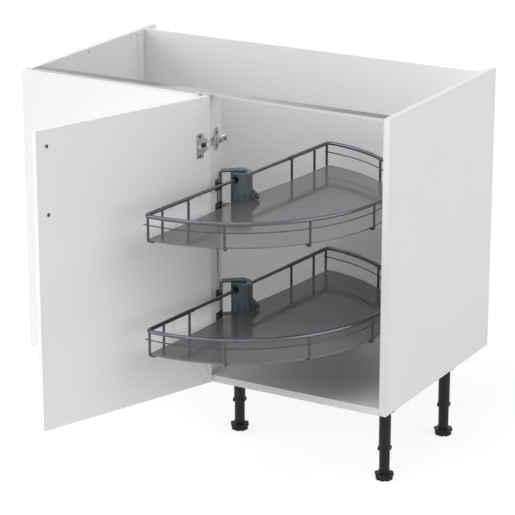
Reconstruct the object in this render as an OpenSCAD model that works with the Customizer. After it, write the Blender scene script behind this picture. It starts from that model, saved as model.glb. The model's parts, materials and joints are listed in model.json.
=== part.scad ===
// Corner base cabinet with two half-round carousel shelves that swing out of a hinged door.
// Every piece is drawn in the carcass frame: X runs right from the outer face of the left side,
// Y runs back from the front of the carcass and Z runs up from its underside. in_place() then
// puts the origin on the floor, under the middle of the carcass.
// The door stands open and the shelves are turned out, as they are in the photograph.

/* [Carcass] */
// Outer width of the carcass
cab_w = 1000; // [900:10:1200]
// Outer depth of the carcass
cab_d = 570; // [540:5:650]
// Height of the carcass without its legs
cab_h = 720; // [680:10:900]
// Thickness of the side panels, base and mullion
panel_t = 18; // [16:1:20]
// Thickness of the back panel
back_t = 8; // [4:1:10]
// Depth of the service void behind the back panel
back_void = 50; // [30:5:60]
// Depth of the grooves that hold the back panel
groove_d = 6; // [4:1:8]
// Depth of the mullion behind the carcass front
mullion_d = 62; // [58:1:80]
// Diameter of the wooden dowels
dowel_d = 8; // [6:1:10]
// Length of the wooden dowels
dowel_len = 28; // [24:1:32]
// Diameter of the cam locks under the base
cam_d = 15; // [12:1:18]
// Distance from the end of the base to the middle of a cam lock
cam_inset = 34; // [24:1:40]
// Diameter of the blind holes near the top of the left side
spare_hole_d = 5; // [3:0.5:6]

/* [Front rail] */
// Front to back width of the metal rail across the top
rail_d = 33; // [28:1:40]
// Thickness of the rail's sheet metal
rail_sheet = 1.5; // [1:0.1:2]
// Height of the rail's front lip
rail_lip = 8; // [6:1:12]
// Height of the rail's rear flange
rail_flange = 12; // [12:1:16]
// Diameter of the worktop screw holes in the rail
rail_hole_d = 5; // [4:0.5:7]
// Distance of the worktop screw holes from the outer side faces
rail_hole_inset = 122; // [80:1:200]

/* [Fronts] */
// Thickness of the door and of the blank panel
front_t = 16; // [14:1:18]
// Gap between the fronts and the carcass
front_gap = 2; // [1.8:0.1:2.5]
// Margin between a front and the edge of its half of the carcass
front_reveal = 1.5; // [1:0.1:2]
// Margin above and below the fronts
front_edge = 2.5; // [1:0.5:5]
// Distance of the blank panel's brackets from its top and bottom ends
blank_bracket_inset = 87; // [40:1:160]

/* [Handle] */
// Distance between the handle's screws
handle_pitch = 160; // [96:1:224]
// Diameter of the handle's bar
handle_bar_d = 10; // [8:0.5:14]
// Distance that the handle stands out from the door
handle_proj = 30; // [26:1:40]
// Distance of the handle from the free edge of the door
handle_inset = 29; // [20:1:60]
// Distance of the upper handle screw from the top of the door
handle_top = 38; // [30:1:120]
// Length of the bar beyond each post
handle_over = 20; // [0:1:30]

/* [Door hinges] */
// Distance from the top of the door to the middle of its upper hinge cup
hinge_inset = 115.5; // [80:0.5:160]
// Distance from the bottom of the door to the middle of its lower hinge cup
lower_hinge_inset = 108; // [80:0.5:112]
// Diameter of a hinge cup
cup_d = 35; // [34:0.5:36]
// Depth of a hinge cup below the door's inner face
cup_depth = 12.4; // [12:0.1:13]
// Distance between the door's hinge edge and the cup
cup_edge = 5; // [4:0.5:6]
// Length of the cup's mounting wing
wing_len = 61; // [58:1:70]
// Width of the cup's mounting wing
wing_w = 21.7; // [18:0.1:24]
// Distance between the cup's two screws
cup_screw_pitch = 48; // [44:1:52]
// Height of the link between the cup and the arm
link_w = 11; // [9:0.5:12]
// Thickness of the link
link_t = 2.2; // [1.8:0.1:2.4]
// Diameter of the hinge pins
hinge_pin_d = 2.5; // [2:0.1:2.6]
// Height of the wing of a mounting plate
plate_len = 57; // [50:1:64]
// Distance between the two screws of a mounting plate
plate_screw_pitch = 32; // [28:1:40]

/* [Carousel shelves] */
// Distance from the mullion's right face to the shelf pivot
pivot_out = 44; // [40:0.5:50]
// Distance from the mullion's rear edge to the shelf pivot
pivot_back = 22.5; // [18:0.5:30]
// Clearance between a stored shelf's rail and the right side
shelf_side_gap = 35.25; // [25:0.25:60]
// Clearance between a stored shelf's rail and the back panel
shelf_back_gap = 30; // [20:1:60]
// Distance of the curve's centre behind the shelf's straight side
curve_back = 5; // [0:0.5:12]
// Bend radius where the curved rail meets the straight side
corner_bend = 12; // [10:0.5:20]
// Diameter of the top rail
top_rail_d = 9.5; // [8:0.5:12]
// Length of the straight top rail past its first post
chord_rail_over = 15.6; // [8:0.2:30]
// Depth of the sockets in the ends of the top rail
chord_socket = 20; // [10:1:30]
// Diameter of the crossbars between the top rail and the hub
crossbar_d = 8; // [6:0.5:8]
// Height of the upper board's top above the carcass underside
upper_shelf_z = 445; // [400:1:480]
// Distance between the two shelves
shelf_pitch = 278; // [240:1:320]
// Thickness of a shelf board
board_t = 4; // [3:0.5:8]
// Distance from the board's edge to the line of the top rail
board_inset = 3.8; // [3.5:0.1:6]
// Height of the top rail above the board
rail_rise = 56; // [45:1:70]
// Diameter of the posts under the top rail
post_d = 6; // [5:0.5:6.5]
// Diameter of the thin wire between the posts
wire_d = 3; // [2:0.5:4]
// Distance from the top rail down to the thin wire
wire_drop = 23; // [15:1:40]
// Distance from the curve to the straight side's inner post
chord_post_inner = 165.4; // [140:0.2:180]
// Distance from the curve to the straight side's outer post
chord_post_outer = 64.5; // [50:0.5:90]
// Number of equal angles between the posts of the curved side
arc_post_bays = 6; // [4:1:8]

/* [Hub and bracket] */
// Diameter of the hub
hub_d = 53; // [46:1:54]
// Diameter of the pivot pin
pivot_pin_d = 14; // [10:1:18]
// Thickness of the hub's flange under the board
hub_flange_t = 3; // [2:0.5:5]
// Radius of the hub's flange under the board
hub_flange_r = 60; // [50:1:90]
// Thickness of a bracket's arms
arm_plate_t = 3.5; // [3:0.5:5]
// Thickness of a bracket's upright plate
rear_plate_t = 2; // [1.5:0.5:4]
// Thickness of a bracket's ears on the mullion's right face
ear_t = 2; // [1.5:0.5:3]
// Width of a bracket's arms and upright plate
bracket_w = 23; // [18:1:26]
// Diameter of the round ends of a bracket's arms
arm_disc_d = 25; // [24:0.5:34]

/* [Legs] */
// Height of the carcass above the floor
leg_h = 178; // [150:1:200]
// Outer diameter of a leg's upper tube
socket_tube_d = 28.4; // [27:0.2:32]
// Outer diameter of a leg's lower tube
lower_tube_d = 25.4; // [22:0.2:26]
// Length of a leg's fixed upper tube
socket_len = 103; // [85:1:112]
// Height of the foot below its tube
foot_h = 16; // [13:1:30]
// Diameter over the lobes of the foot
foot_d = 47.8; // [42:0.2:60]
// Diameter of the foot where it meets the floor
foot_base_d = 41.7; // [36:0.1:50]
// Number of lobes and of notches around the foot
foot_lobes = 8; // [6:1:12]
// Distance of the outer legs from the outer side faces
leg_side_inset = 25; // [24:1:60]
// Distance of the front legs behind the carcass front
leg_front_inset = 48; // [40:1:90]
// Distance of the rear legs in front of the carcass's rear edge
leg_rear_inset = 198; // [40:1:240]
// Distance of the middle leg behind the carcass front
leg_mid_back = 150; // [60:1:300]

/* [Fits] */
// Clearance on each side of a panel in its groove
groove_fit = 0.15; // [0.1:0.05:0.4]
// Radial clearance of pins and shafts that turn or slide
run_fit = 0.06; // [0.02:0.01:0.1]
// Radial clearance of screws, dowels and sockets in their holes
hole_fit = 0.08; // [0.05:0.01:0.2]
// Gap between sheet pieces that only lie together
lay_gap = 0.1; // [0.05:0.05:0.3]
// Gap between parts that pass each other as they move
pass_gap = 0.5; // [0.3:0.1:0.8]

/* [Hidden] */
$fn = 48;
over = 1;                 // how far a cut runs past the face that it opens

// Carcass places
back_y = cab_d - back_void - back_t;
mullion_x = cab_w / 2;
mullion_right = mullion_x + panel_t;
dowel_front = 60;
dowel_rear = 80;
side_dowel_y = [dowel_front, cab_d / 2, cab_d - dowel_rear];
dowel_in_side = 11;
mullion_dowel_edge = 15;
mullion_dowel_y = [mullion_dowel_edge, mullion_d - mullion_dowel_edge];
dowel_in_base = 12;
cam_front = 110;
cam_rear = 130;
cam_y = [cam_front, cab_d - cam_rear];
cam_h = 12.4;
cam_bore_d = 8;
cam_bolt_d = 5;
cam_thread_d = 6;
cam_thread_len = 11;
cam_head_d = 7;
cam_head_len = 4;
spare_hole_depth = 12;
spare_hole_spots = [[318, 10], [124, 11], [92, 11]];  // from the rear edge and from the top

// Wood screw that holds plates and brackets
wood_screw_d = 4;
wood_screw_len = 14;
wood_head_d = 7.5;
wood_head_h = 2.2;
blank_screw_len = 12;

// Front rail
rail_end_gap = 0.3;
end_bracket_t = 2;
end_bracket_drop = 14;
end_bracket_reach = 22;
end_bracket_inset = 3;
rail_mid_y = rail_d / 2;
rail_screw_z = cab_h - 8;
head_gap = 0.2;

// Fronts, with the door closed
front_y = -front_gap - front_t;
front_z = front_edge;
front_h = cab_h - 2 * front_edge;
door_x = mullion_x + front_reveal;
front_w = cab_w / 2 - 2 * front_reveal;
blank_bracket_len = 26;
blank_bracket_w = 30;
blank_bracket_t = front_gap;
blank_bracket_z = [front_z + blank_bracket_inset, front_z + front_h - blank_bracket_inset];
blank_screw_off = 14;

// Handle
handle_x = door_x + front_w - handle_inset;
handle_z = front_z + front_h - handle_top - handle_pitch / 2;
handle_post_d = 8;
handle_screw_d = 4;
handle_screw_len = 26;
handle_head_d = 8;
handle_head_h = 2.4;

// Door hinge: the link turns on the arm at link_pivot, and the cup turns on the link at
// cup_pivot. Both are given with the door closed.
link_pivot_in = 16;
link_pivot_back = 8;
cup_pivot_in = 10;
cup_pivot_front = 4;
link_pivot = [mullion_right + link_pivot_in, link_pivot_back, 0];
cup_pivot = [door_x + cup_pivot_in, -front_gap - cup_pivot_front, 0];
link_bend_cup = [0.1, -8.8, 0];
link_bend_arm = [-4.8, -16.1, 0];
link_steps = 24;
link_opens = 36;
cup_opens = 146;
hinge_z = [front_z + front_h - hinge_inset, front_z + lower_hinge_inset];
cup_x = door_x + cup_edge + cup_d / 2;
cup_wall = 2.1;
cup_floor = 1.2;
wing_t = 1.2;
wing_x = cup_x - 1.7;
cup_screw_x = cup_x + 9.5;
cup_screw_d = 3.5;
cup_screw_len = 12;
cup_head_d = 7;
cup_head_h = 1.2;
link_side_gap = 0.3;
slot_half = link_w / 2 + link_side_gap;
cup_pin_half = 9.5;
cheek_t = 1.4;
arm_w = 2 * (slot_half + cheek_t);
arm_top = link_pivot[0] + 2.5;
arm_web_t = 1.6;
arm_head_r = 3;
arm_low = mullion_right + 9;
arm_end = 60;
arm_web_start = link_pivot[1] + 5;
arm_slope = 10;
plate_t = 2;
plate_w = 20;
plate_y = 39;
plate_block_y = [24, 58];
plate_block_top = arm_top - arm_web_t - 0.2;
arm_screw_y = [30, 51];
arm_screw_d = 4;
arm_screw_len = 10;
arm_screw_head_d = 6.5;
arm_screw_head_h = 2;

// Carousel
pivot_x = mullion_right + pivot_out;
pivot_y = mullion_d + pivot_back;
shelf_z = [upper_shelf_z, upper_shelf_z - shelf_pitch];
shelf_opens = 95;
side_room = cab_w - panel_t - pivot_x - shelf_side_gap - top_rail_d / 2;
back_room = back_y - pivot_y + curve_back - shelf_back_gap - top_rail_d / 2;
shelf_r = min(side_room, back_room);    // radius of the curve, to the middle of its tube
chord_post_x = [shelf_r - chord_post_inner, shelf_r - chord_post_outer];
chord_rail_end = chord_post_x[0] - chord_rail_over;
bend_x = sqrt(pow(shelf_r - corner_bend, 2) - pow(corner_bend + curve_back, 2));
bend_angle = atan2(corner_bend + curve_back, bend_x);
weld_gap = 0.05;
wire_r = shelf_r - (post_d + wire_d) / 2 - weld_gap;
wire_tail = 8;
wire_end_angle = asin((wire_tail - curve_back) / wire_r);
corner_post_x = sqrt(pow(wire_r - (post_d + wire_d) / 2 - weld_gap, 2) - pow(curve_back, 2));
corner_post_y = corner_bend - sqrt(pow(corner_bend, 2) - pow(corner_post_x - bend_x, 2));
hook_gap = 0.4;
hook_r = post_d / 2 + 1;
hook_z = -board_t - hook_gap - post_d / 2;
hook_run = 11;

// Hub, measured from the top of the board
notch_gap = 0.5;
hub_over_rail = 14.5;
hub_top = rail_rise + hub_over_rail;
hub_cap_h = 4;
hub_groove = 0.8;
hub_collar_d = 40;
hub_collar_h = 4;
hub_low = -board_t - hub_flange_t - hub_collar_h;
hub_slots = 10;           // with the lug in the place of one
hub_slot_w = 4;
hub_slot_d = 3;
hub_slot_h = 21;
crossbar_in_hub = 17;
crossbar_mouth_d = 18;
crossbar_mouth_h = 12;
ear_angle = 124.6;
ear_root = 3;
ear_w = 12;
ear_r = 37.4;
ear_eye_d = 12;
ear_low = 1;
ear_h = 26;
ear_slit = 2;
ear_slit_in = 21;
clamp_screw_d = 4;
clamp_screw_len = ear_w + 1;
clamp_head_d = 8;
clamp_head_h = 3;
clamp_z = 9;
board_screw_d = 3.5;
board_screw_r = 46;
board_screw_angles = [50, 130];
board_screw_grip = 2.6;
board_head_d = 7;
board_head_h = 2;

// Bracket, measured from the top of the board
top_arm_z = hub_top + pass_gap;
low_arm_z = hub_low - pass_gap - arm_plate_t;
bracket_drop = 23;
arm_slant = 30;           // turn of the upright plate from the mullion's right face
arm_skew = 10;            // how far behind the pivot the arms' middle line runs
corner_gap = 0.6;
arm_reach = pivot_out * cos(arm_slant) + pivot_back * sin(arm_slant) - corner_gap;
ear_reach = 28;
upper_ear_low = 27;
upper_ear_high = 43;
upper_ear_z = [upper_ear_low, upper_ear_high];
upper_tab_w = 13;
upper_tab_top = 55;
lower_ear_high = -3;
lower_ear_z = [-bracket_drop, lower_ear_high];
upper_screw_in = 21.5;    // from the mullion's rear edge
upper_screw_z = 49;
lower_screw_in = 14;
lower_screw_z = -13;
bracket_screws_at = [
    [mullion_d - upper_screw_in, upper_screw_z], [mullion_d - lower_screw_in, lower_screw_z]
];
pin_cap_d = 18;
pin_cap_h = 1.5;

// Legs, measured from the floor
socket_low = leg_h - socket_len;
leg_spots = [
    [leg_side_inset, leg_front_inset], [cab_w - leg_side_inset, leg_front_inset],
    [leg_side_inset, cab_d - leg_rear_inset], [cab_w - leg_side_inset, cab_d - leg_rear_inset],
    [mullion_right - 1, leg_mid_back]
];
leg_inward = [0, 180, 0, 180, 0];
flange_t = 4;
flange_d = 46;
tab_len = 40;
tab_w = 34;
tab_screw_x = 31;
tab_screw_y = 10;
socket_roof = 3;
tube_grip = 55;
nub_w = 4;
nub_h = 8;
nub_out = 2.5;
collar_h = 10;
collar_d = socket_tube_d + 2;
lobe_r = 7.2;
lobe_h = 5;
lobe_step = 1.5;           // how far the round base ends below the lobes
foot_core_d = 39.5;
foot_notch_w = 4;
foot_notch_in = 3;           // how deep a notch goes into the side of the foot
foot_notch_h = 9;

// Colours
panel_white = "white";
inner_white = "gainsboro";
board_grey = "dimgray";
rail_steel = "lightslategray";
hub_grey = "darkslategray";
plate_nickel = "silver";
leg_black = [0.12, 0.12, 0.13];

// ---------------------------------------------------------------- placing

module in_place() {
    translate([-cab_w / 2, -cab_d / 2, leg_h]) children();
}

module about(point, angle) {
    translate(point) rotate(angle) translate(-point) children();
}

module on_link() {
    about(link_pivot, link_opens) children();
}

module on_door() {
    on_link() about(cup_pivot, -cup_opens) children();
}

module on_shelf(z) {
    translate([pivot_x, pivot_y, z]) rotate(-shelf_opens) children();
}

module on_right() {
    translate([cab_w, 0, 0]) mirror([1, 0, 0]) children();
}

module on_leg(i) {
    translate([leg_spots[i][0], leg_spots[i][1], -leg_h]) rotate(leg_inward[i]) children();
}

// ---------------------------------------------------------------- shared shapes

module rod_x(d, len) {
    rotate([0, 90, 0]) cylinder(d = d, h = len);
}

module rod_y(d, len) {
    rotate([-90, 0, 0]) cylinder(d = d, h = len);
}

// A screw along Z with its head above z = 0 and a cross recess in the head
module screw(d, len, head_d, head_h) {
    recess_w = head_d / 6;
    recess_len = head_d * 0.6;
    translate([0, 0, -len]) cylinder(d = d, h = len);
    difference() {
        cylinder(d1 = head_d, d2 = head_d * 0.8, h = head_h);
        for (turn = [0, 90]) {
            rotate(turn) translate([-recess_len / 2, -recess_w / 2, head_h / 2])
                cube([recess_len, recess_w, head_h]);
        }
    }
}

module wood_screw(len = wood_screw_len) {
    screw(wood_screw_d, len, wood_head_d, wood_head_h);
}

// The hole that a wood screw cuts, with its mouth at z = 0
module wood_screw_hole(len = wood_screw_len) {
    translate([0, 0, -len - over])
        cylinder(d = wood_screw_d + 2 * hole_fit, h = len + 2 * over);
}

// ---------------------------------------------------------------- carcass

// Cuts in a side's inner face for the joint with the base
module side_joint_cuts() {
    for (y = side_dowel_y) {
        translate([panel_t - dowel_in_side - over, y, panel_t / 2])
            rod_x(dowel_d + 2 * hole_fit, dowel_in_side + 2 * over);
    }
    for (y = cam_y) {
        translate([panel_t - cam_thread_len - over, y, panel_t / 2])
            rod_x(cam_thread_d + 2 * hole_fit, cam_thread_len + 2 * over);
    }
}

// The left side, and the right side once it is mirrored
module side_panel() {
    difference() {
        cube([panel_t, cab_d, cab_h]);
        translate([panel_t - groove_d, back_y - groove_fit, -over])
            cube([groove_d + over, back_t + 2 * groove_fit, cab_h + 2 * over]);
        side_joint_cuts();
        for (spot = spare_hole_spots) {
            translate([panel_t - spare_hole_depth, cab_d - spot[0], cab_h - spot[1]])
                rod_x(spare_hole_d, spare_hole_depth + over);
        }
        side_screw_spot() wood_screw_hole();
    }
}

// Screw of a rail end bracket, pointing into the left side
module side_screw_spot() {
    translate([panel_t + end_bracket_t, rail_mid_y, rail_screw_z]) rotate([0, 90, 0]) children();
}

module left_side() {
    color(panel_white) difference() {
        side_panel();
        for (z = blank_bracket_z) {
            translate([panel_t, 0, z]) side_leg_screw() wood_screw_hole();
        }
    }
}

module right_side() {
    color(panel_white) on_right() side_panel();
}

// The base's joint cuts at its left end
module base_end_cuts() {
    for (y = side_dowel_y) {
        translate([panel_t - over, y, panel_t / 2])
            rod_x(dowel_d + 2 * hole_fit, dowel_len - dowel_in_side + 2 * over);
    }
    for (y = cam_y) {
        translate([panel_t - over, y, panel_t / 2]) rod_x(cam_bore_d, cam_inset + over);
        translate([panel_t + cam_inset, y, -over])
            cylinder(d = cam_d + 2 * hole_fit, h = cam_h + 0.2 + over);
    }
}

module base_panel() {
    color(panel_white) difference() {
        translate([panel_t, 0, 0]) cube([cab_w - 2 * panel_t, cab_d, panel_t]);
        translate([0, back_y - groove_fit, panel_t - groove_d])
            cube([cab_w, back_t + 2 * groove_fit, groove_d + over]);
        base_end_cuts();
        on_right() base_end_cuts();
        for (y = mullion_dowel_y) {
            translate([mullion_x + panel_t / 2, y, panel_t - dowel_in_base - over])
                cylinder(d = dowel_d + 2 * hole_fit, h = dowel_in_base + 2 * over);
        }
        for (i = [0:len(leg_spots) - 1]) {
            on_leg(i) tab_screw_spots() wood_screw_hole();
        }
    }
}

module back_panel() {
    color(inner_white)
        translate([panel_t - groove_d + groove_fit, back_y, panel_t - groove_d + groove_fit])
        cube([
            cab_w - 2 * (panel_t - groove_d + groove_fit), back_t,
            cab_h - panel_t + groove_d - groove_fit
        ]);
}

// The mullion seen from its right. Its head stands in the front rail's channel.
module mullion_outline() {
    inside = rail_sheet + head_gap;
    front_top = cab_h - rail_lip - head_gap;
    rear_top = cab_h - rail_flange - head_gap;
    polygon([
        [0, panel_t], [0, front_top], [inside, front_top], [inside, cab_h - inside],
        [rail_d - inside, cab_h - inside], [rail_d - inside, rear_top], [mullion_d, rear_top],
        [mullion_d, panel_t]
    ]);
}

module mullion() {
    color(panel_white) difference() {
        translate([mullion_x, 0, 0]) rotate([90, 0, 90])
            linear_extrude(panel_t) mullion_outline();
        for (y = mullion_dowel_y) {
            translate([mullion_x + panel_t / 2, y, panel_t - over])
                cylinder(d = dowel_d + 2 * hole_fit, h = dowel_len - dowel_in_base + 2 * over);
        }
        for (z = hinge_z) {
            translate([0, 0, z]) plate_screw_spots() wood_screw_hole();
        }
        for (z = shelf_z) {
            translate([0, 0, z]) bracket_screw_spots() wood_screw_hole();
        }
        for (z = blank_bracket_z) {
            translate([mullion_x, 0, z]) mirror([1, 0, 0]) side_leg_screw() wood_screw_hole();
        }
        rail_mullion_screw() wood_screw_hole();
    }
}

module carcass_dowels() {
    color("burlywood") {
        for (y = side_dowel_y) {
            for (x = [panel_t - dowel_in_side, cab_w - panel_t + dowel_in_side - dowel_len]) {
                translate([x, y, panel_t / 2]) rod_x(dowel_d, dowel_len);
            }
        }
        for (y = mullion_dowel_y) {
            translate([mullion_x + panel_t / 2, y, panel_t - dowel_in_base])
                cylinder(d = dowel_d, h = dowel_len);
        }
    }
}

// Round cam with a screwdriver slot below and a pocket for the bolt's head
module cam_lock() {
    pocket_d = cam_head_d + 1;
    difference() {
        cylinder(d = cam_d, h = cam_h);
        translate([-cam_d, 0, panel_t / 2]) rod_x(pocket_d, cam_d + cam_head_len);
        translate([-cam_d / 2, -0.6, -over]) cube([cam_d, 1.2, over + 1.5]);
    }
}

module cam_locks() {
    color(plate_nickel) for (y = cam_y) {
        translate([panel_t + cam_inset, y, 0]) cam_lock();
        on_right() translate([panel_t + cam_inset, y, 0]) cam_lock();
    }
}

// Bolt that is screwed into the left side and ends in a head inside the cam
module cam_bolt() {
    translate([-cam_thread_len, 0, 0]) rod_x(cam_thread_d, cam_thread_len);
    rod_x(cam_bolt_d, cam_inset - 1);
    translate([cam_inset - 1, 0, 0]) rod_x(cam_head_d, cam_head_len);
}

module cam_bolts() {
    color(plate_nickel) for (y = cam_y) {
        translate([panel_t, y, panel_t / 2]) cam_bolt();
        on_right() translate([panel_t, y, panel_t / 2]) cam_bolt();
    }
}

// ---------------------------------------------------------------- front rail

module rail_mullion_screw() {
    translate([mullion_x + panel_t / 2, rail_d, rail_screw_z]) rotate([-90, 0, 0]) children();
}

module front_rail() {
    len = cab_w - 2 * (panel_t + rail_end_gap);
    color(rail_steel) difference() {
        translate([panel_t + rail_end_gap, 0, 0]) union() {
            translate([0, 0, cab_h - rail_sheet]) cube([len, rail_d, rail_sheet]);
            translate([0, 0, cab_h - rail_lip]) cube([len, rail_sheet, rail_lip]);
            translate([0, rail_d - rail_sheet, cab_h - rail_flange])
                cube([len, rail_sheet, rail_flange]);
        }
        for (x = [rail_hole_inset, cab_w - rail_hole_inset]) {
            translate([x, rail_mid_y, cab_h - rail_sheet - over])
                cylinder(d = rail_hole_d, h = rail_sheet + 2 * over);
        }
        rail_mullion_screw() wood_screw_hole();
    }
}

// Angle on the left side that the end of the rail lies on
module rail_end_bracket() {
    top = cab_h - rail_sheet - lay_gap;
    difference() {
        union() {
            translate([panel_t, end_bracket_inset, top - end_bracket_drop])
                cube([end_bracket_t, rail_d - 2 * end_bracket_inset, end_bracket_drop]);
            translate([panel_t, end_bracket_inset, top - end_bracket_t])
                cube([end_bracket_reach, rail_d - 2 * end_bracket_inset, end_bracket_t]);
        }
        side_screw_spot() wood_screw_hole();
    }
}

module rail_end_brackets() {
    color(plate_nickel) {
        rail_end_bracket();
        on_right() rail_end_bracket();
    }
}

module rail_screws() {
    color(plate_nickel) {
        side_screw_spot() wood_screw();
        on_right() side_screw_spot() wood_screw();
        rail_mullion_screw() wood_screw();
    }
}

// ---------------------------------------------------------------- blank panel

module blank_panel() {
    color(panel_white) difference() {
        translate([front_reveal, front_y, front_z]) cube([front_w, front_t, front_h]);
        for (z = blank_bracket_z) {
            translate([panel_t, 0, z]) front_leg_screw() wood_screw_hole(blank_screw_len);
            translate([mullion_x, 0, z]) mirror([1, 0, 0])
                front_leg_screw() wood_screw_hole(blank_screw_len);
        }
    }
}

// Screw spots of an angle whose corner stands on an upright's face at x = 0
module side_leg_screw() {
    translate([blank_bracket_t, blank_screw_off, 0]) rotate([0, 90, 0]) children();
}

module front_leg_screw() {
    translate([blank_screw_off, 0, 0]) rotate([-90, 0, 0]) children();
}

module blank_bracket() {
    difference() {
        union() {
            translate([0, -front_gap, -blank_bracket_w / 2])
                cube([blank_bracket_t, blank_bracket_len, blank_bracket_w]);
            translate([0, -front_gap, -blank_bracket_w / 2])
                cube([blank_bracket_len, blank_bracket_t, blank_bracket_w]);
        }
        side_leg_screw() wood_screw_hole();
        front_leg_screw() wood_screw_hole();
    }
}

module each_blank_bracket() {
    for (z = blank_bracket_z) {
        translate([panel_t, 0, z]) children();
        translate([mullion_x, 0, z]) mirror([1, 0, 0]) children();
    }
}

module blank_brackets() {
    color(plate_nickel) each_blank_bracket() blank_bracket();
}

module blank_screws() {
    color(plate_nickel) each_blank_bracket() {
        side_leg_screw() wood_screw();
        front_leg_screw() wood_screw(blank_screw_len);
    }
}

// ---------------------------------------------------------------- door

module cup_screw_spots() {
    for (z = hinge_z) {
        for (side = [-1, 1]) {
            translate([cup_screw_x, -front_gap + wing_t, z + side * cup_screw_pitch / 2])
                rotate([-90, 0, 0]) children();
        }
    }
}

module handle_screw_spots() {
    for (side = [-1, 1]) {
        translate([handle_x, -front_gap, handle_z + side * handle_pitch / 2])
            rotate([-90, 0, 0]) children();
    }
}

module door() {
    color(panel_white) difference() {
        translate([door_x, front_y, front_z]) cube([front_w, front_t, front_h]);
        for (z = hinge_z) {
            translate([cup_x, -front_gap - cup_depth - 0.2, z])
                rod_y(cup_d + 2 * hole_fit, cup_depth + 0.2 + over);
        }
        cup_screw_spots() translate([0, 0, -cup_screw_len - over])
            cylinder(d = cup_screw_d + 2 * hole_fit, h = cup_screw_len + 2 * over);
        handle_screw_spots() translate([0, 0, -front_t - over])
            cylinder(d = handle_screw_d + 2 * hole_fit, h = front_t + 2 * over);
    }
}

module handle() {
    bar_y = front_y - handle_proj + handle_bar_d / 2;
    bar_len = handle_pitch + 2 * handle_over;
    grip = handle_screw_len - front_t;
    color(plate_nickel) difference() {
        union() {
            translate([handle_x, bar_y, handle_z - bar_len / 2])
                cylinder(d = handle_bar_d, h = bar_len);
            for (side = [-1, 1]) {
                translate([handle_x, bar_y, handle_z + side * handle_pitch / 2])
                    rod_y(handle_post_d, front_y - bar_y);
            }
        }
        handle_screw_spots() translate([0, 0, -front_t - grip - over])
            cylinder(d = handle_screw_d + 2 * hole_fit, h = grip + 2 * over);
    }
}

module handle_screws() {
    color(plate_nickel) handle_screw_spots()
        screw(handle_screw_d, handle_screw_len, handle_head_d, handle_head_h);
}

// ---------------------------------------------------------------- door hinges

module wing_outline() {
    round_r = 4;
    for (side = [-1, 1]) {
        for (x = [round_r, wing_w - round_r]) {
            translate([wing_x + x, side * (wing_len / 2 - round_r)]) circle(r = round_r);
        }
    }
    translate([wing_x + round_r, -wing_len / 2]) square([wing_w - 2 * round_r, wing_len]);
    translate([wing_x, round_r - wing_len / 2]) square([wing_w, wing_len - 2 * round_r]);
}

// Pressed cup with its wing, in the closed door
module hinge_cup(z) {
    slot_x = door_x + cup_edge + cup_wall;
    slot_len = cup_d - cup_wall - 4;
    pin_bore_half = cup_pin_half + 0.2;
    color(plate_nickel) translate([0, 0, z]) difference() {
        union() {
            translate([cup_x, -front_gap - cup_depth, 0]) rod_y(cup_d, cup_depth);
            translate([0, -front_gap + wing_t, 0]) rotate([90, 0, 0])
                linear_extrude(wing_t) wing_outline();
        }
        translate([slot_x, -front_gap - cup_depth + cup_floor, -slot_half])
            cube([slot_len, cup_depth + wing_t, 2 * slot_half]);
        translate(cup_pivot + [0, 0, -pin_bore_half])
            cylinder(d = hinge_pin_d + 2 * hole_fit, h = 2 * pin_bore_half);
        for (side = [-1, 1]) {
            translate([cup_screw_x, -front_gap - over, side * cup_screw_pitch / 2])
                rod_y(cup_screw_d + 2 * hole_fit, wing_t + 2 * over);
        }
    }
}

module cup_pins() {
    color(plate_nickel) for (z = hinge_z) {
        translate(cup_pivot + [0, 0, z - cup_pin_half])
            cylinder(d = hinge_pin_d, h = 2 * cup_pin_half);
    }
}

module cup_screws() {
    color(plate_nickel) cup_screw_spots()
        screw(cup_screw_d, cup_screw_len, cup_head_d, cup_head_h);
}

// Point at share t of the link's curved middle line, from the cup's pin to the arm's pin
function link_point(t) =
    pow(1 - t, 3) * cup_pivot
    + 3 * t * pow(1 - t, 2) * (cup_pivot + link_bend_cup)
    + 3 * t * t * (1 - t) * (link_pivot + link_bend_arm)
    + pow(t, 3) * link_pivot;

// Point beside the middle line, half the link's thickness away
function link_edge(t, side) =
    let (
        step = 0.001,
        along = link_point(min(t + step, 1)) - link_point(max(t - step, 0)),
        unit = along / norm(along),
        at = link_point(t)
    )
    [at[0] - side * unit[1] * link_t / 2, at[1] + side * unit[0] * link_t / 2];

// Curved link that carries the door around the mullion
module hinge_link(z) {
    eye_d = hinge_pin_d + 2 * run_fit + link_t;
    edge = [for (i = [0:link_steps]) i / link_steps];
    color(plate_nickel) translate([0, 0, z - link_w / 2]) difference() {
        union() {
            linear_extrude(link_w) polygon(concat(
                [for (t = edge) link_edge(t, 1)],
                [for (i = [link_steps:-1:0]) link_edge(edge[i], -1)]
            ));
            for (pivot = [cup_pivot, link_pivot]) {
                translate(pivot) cylinder(d = eye_d, h = link_w);
            }
        }
        for (pivot = [cup_pivot, link_pivot]) {
            translate(pivot + [0, 0, -over])
                cylinder(d = hinge_pin_d + 2 * run_fit, h = link_w + 2 * over);
        }
    }
}

module arm_screw_spots() {
    for (y = arm_screw_y) {
        translate([arm_top, y, 0]) rotate([0, 90, 0]) children();
    }
}

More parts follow.
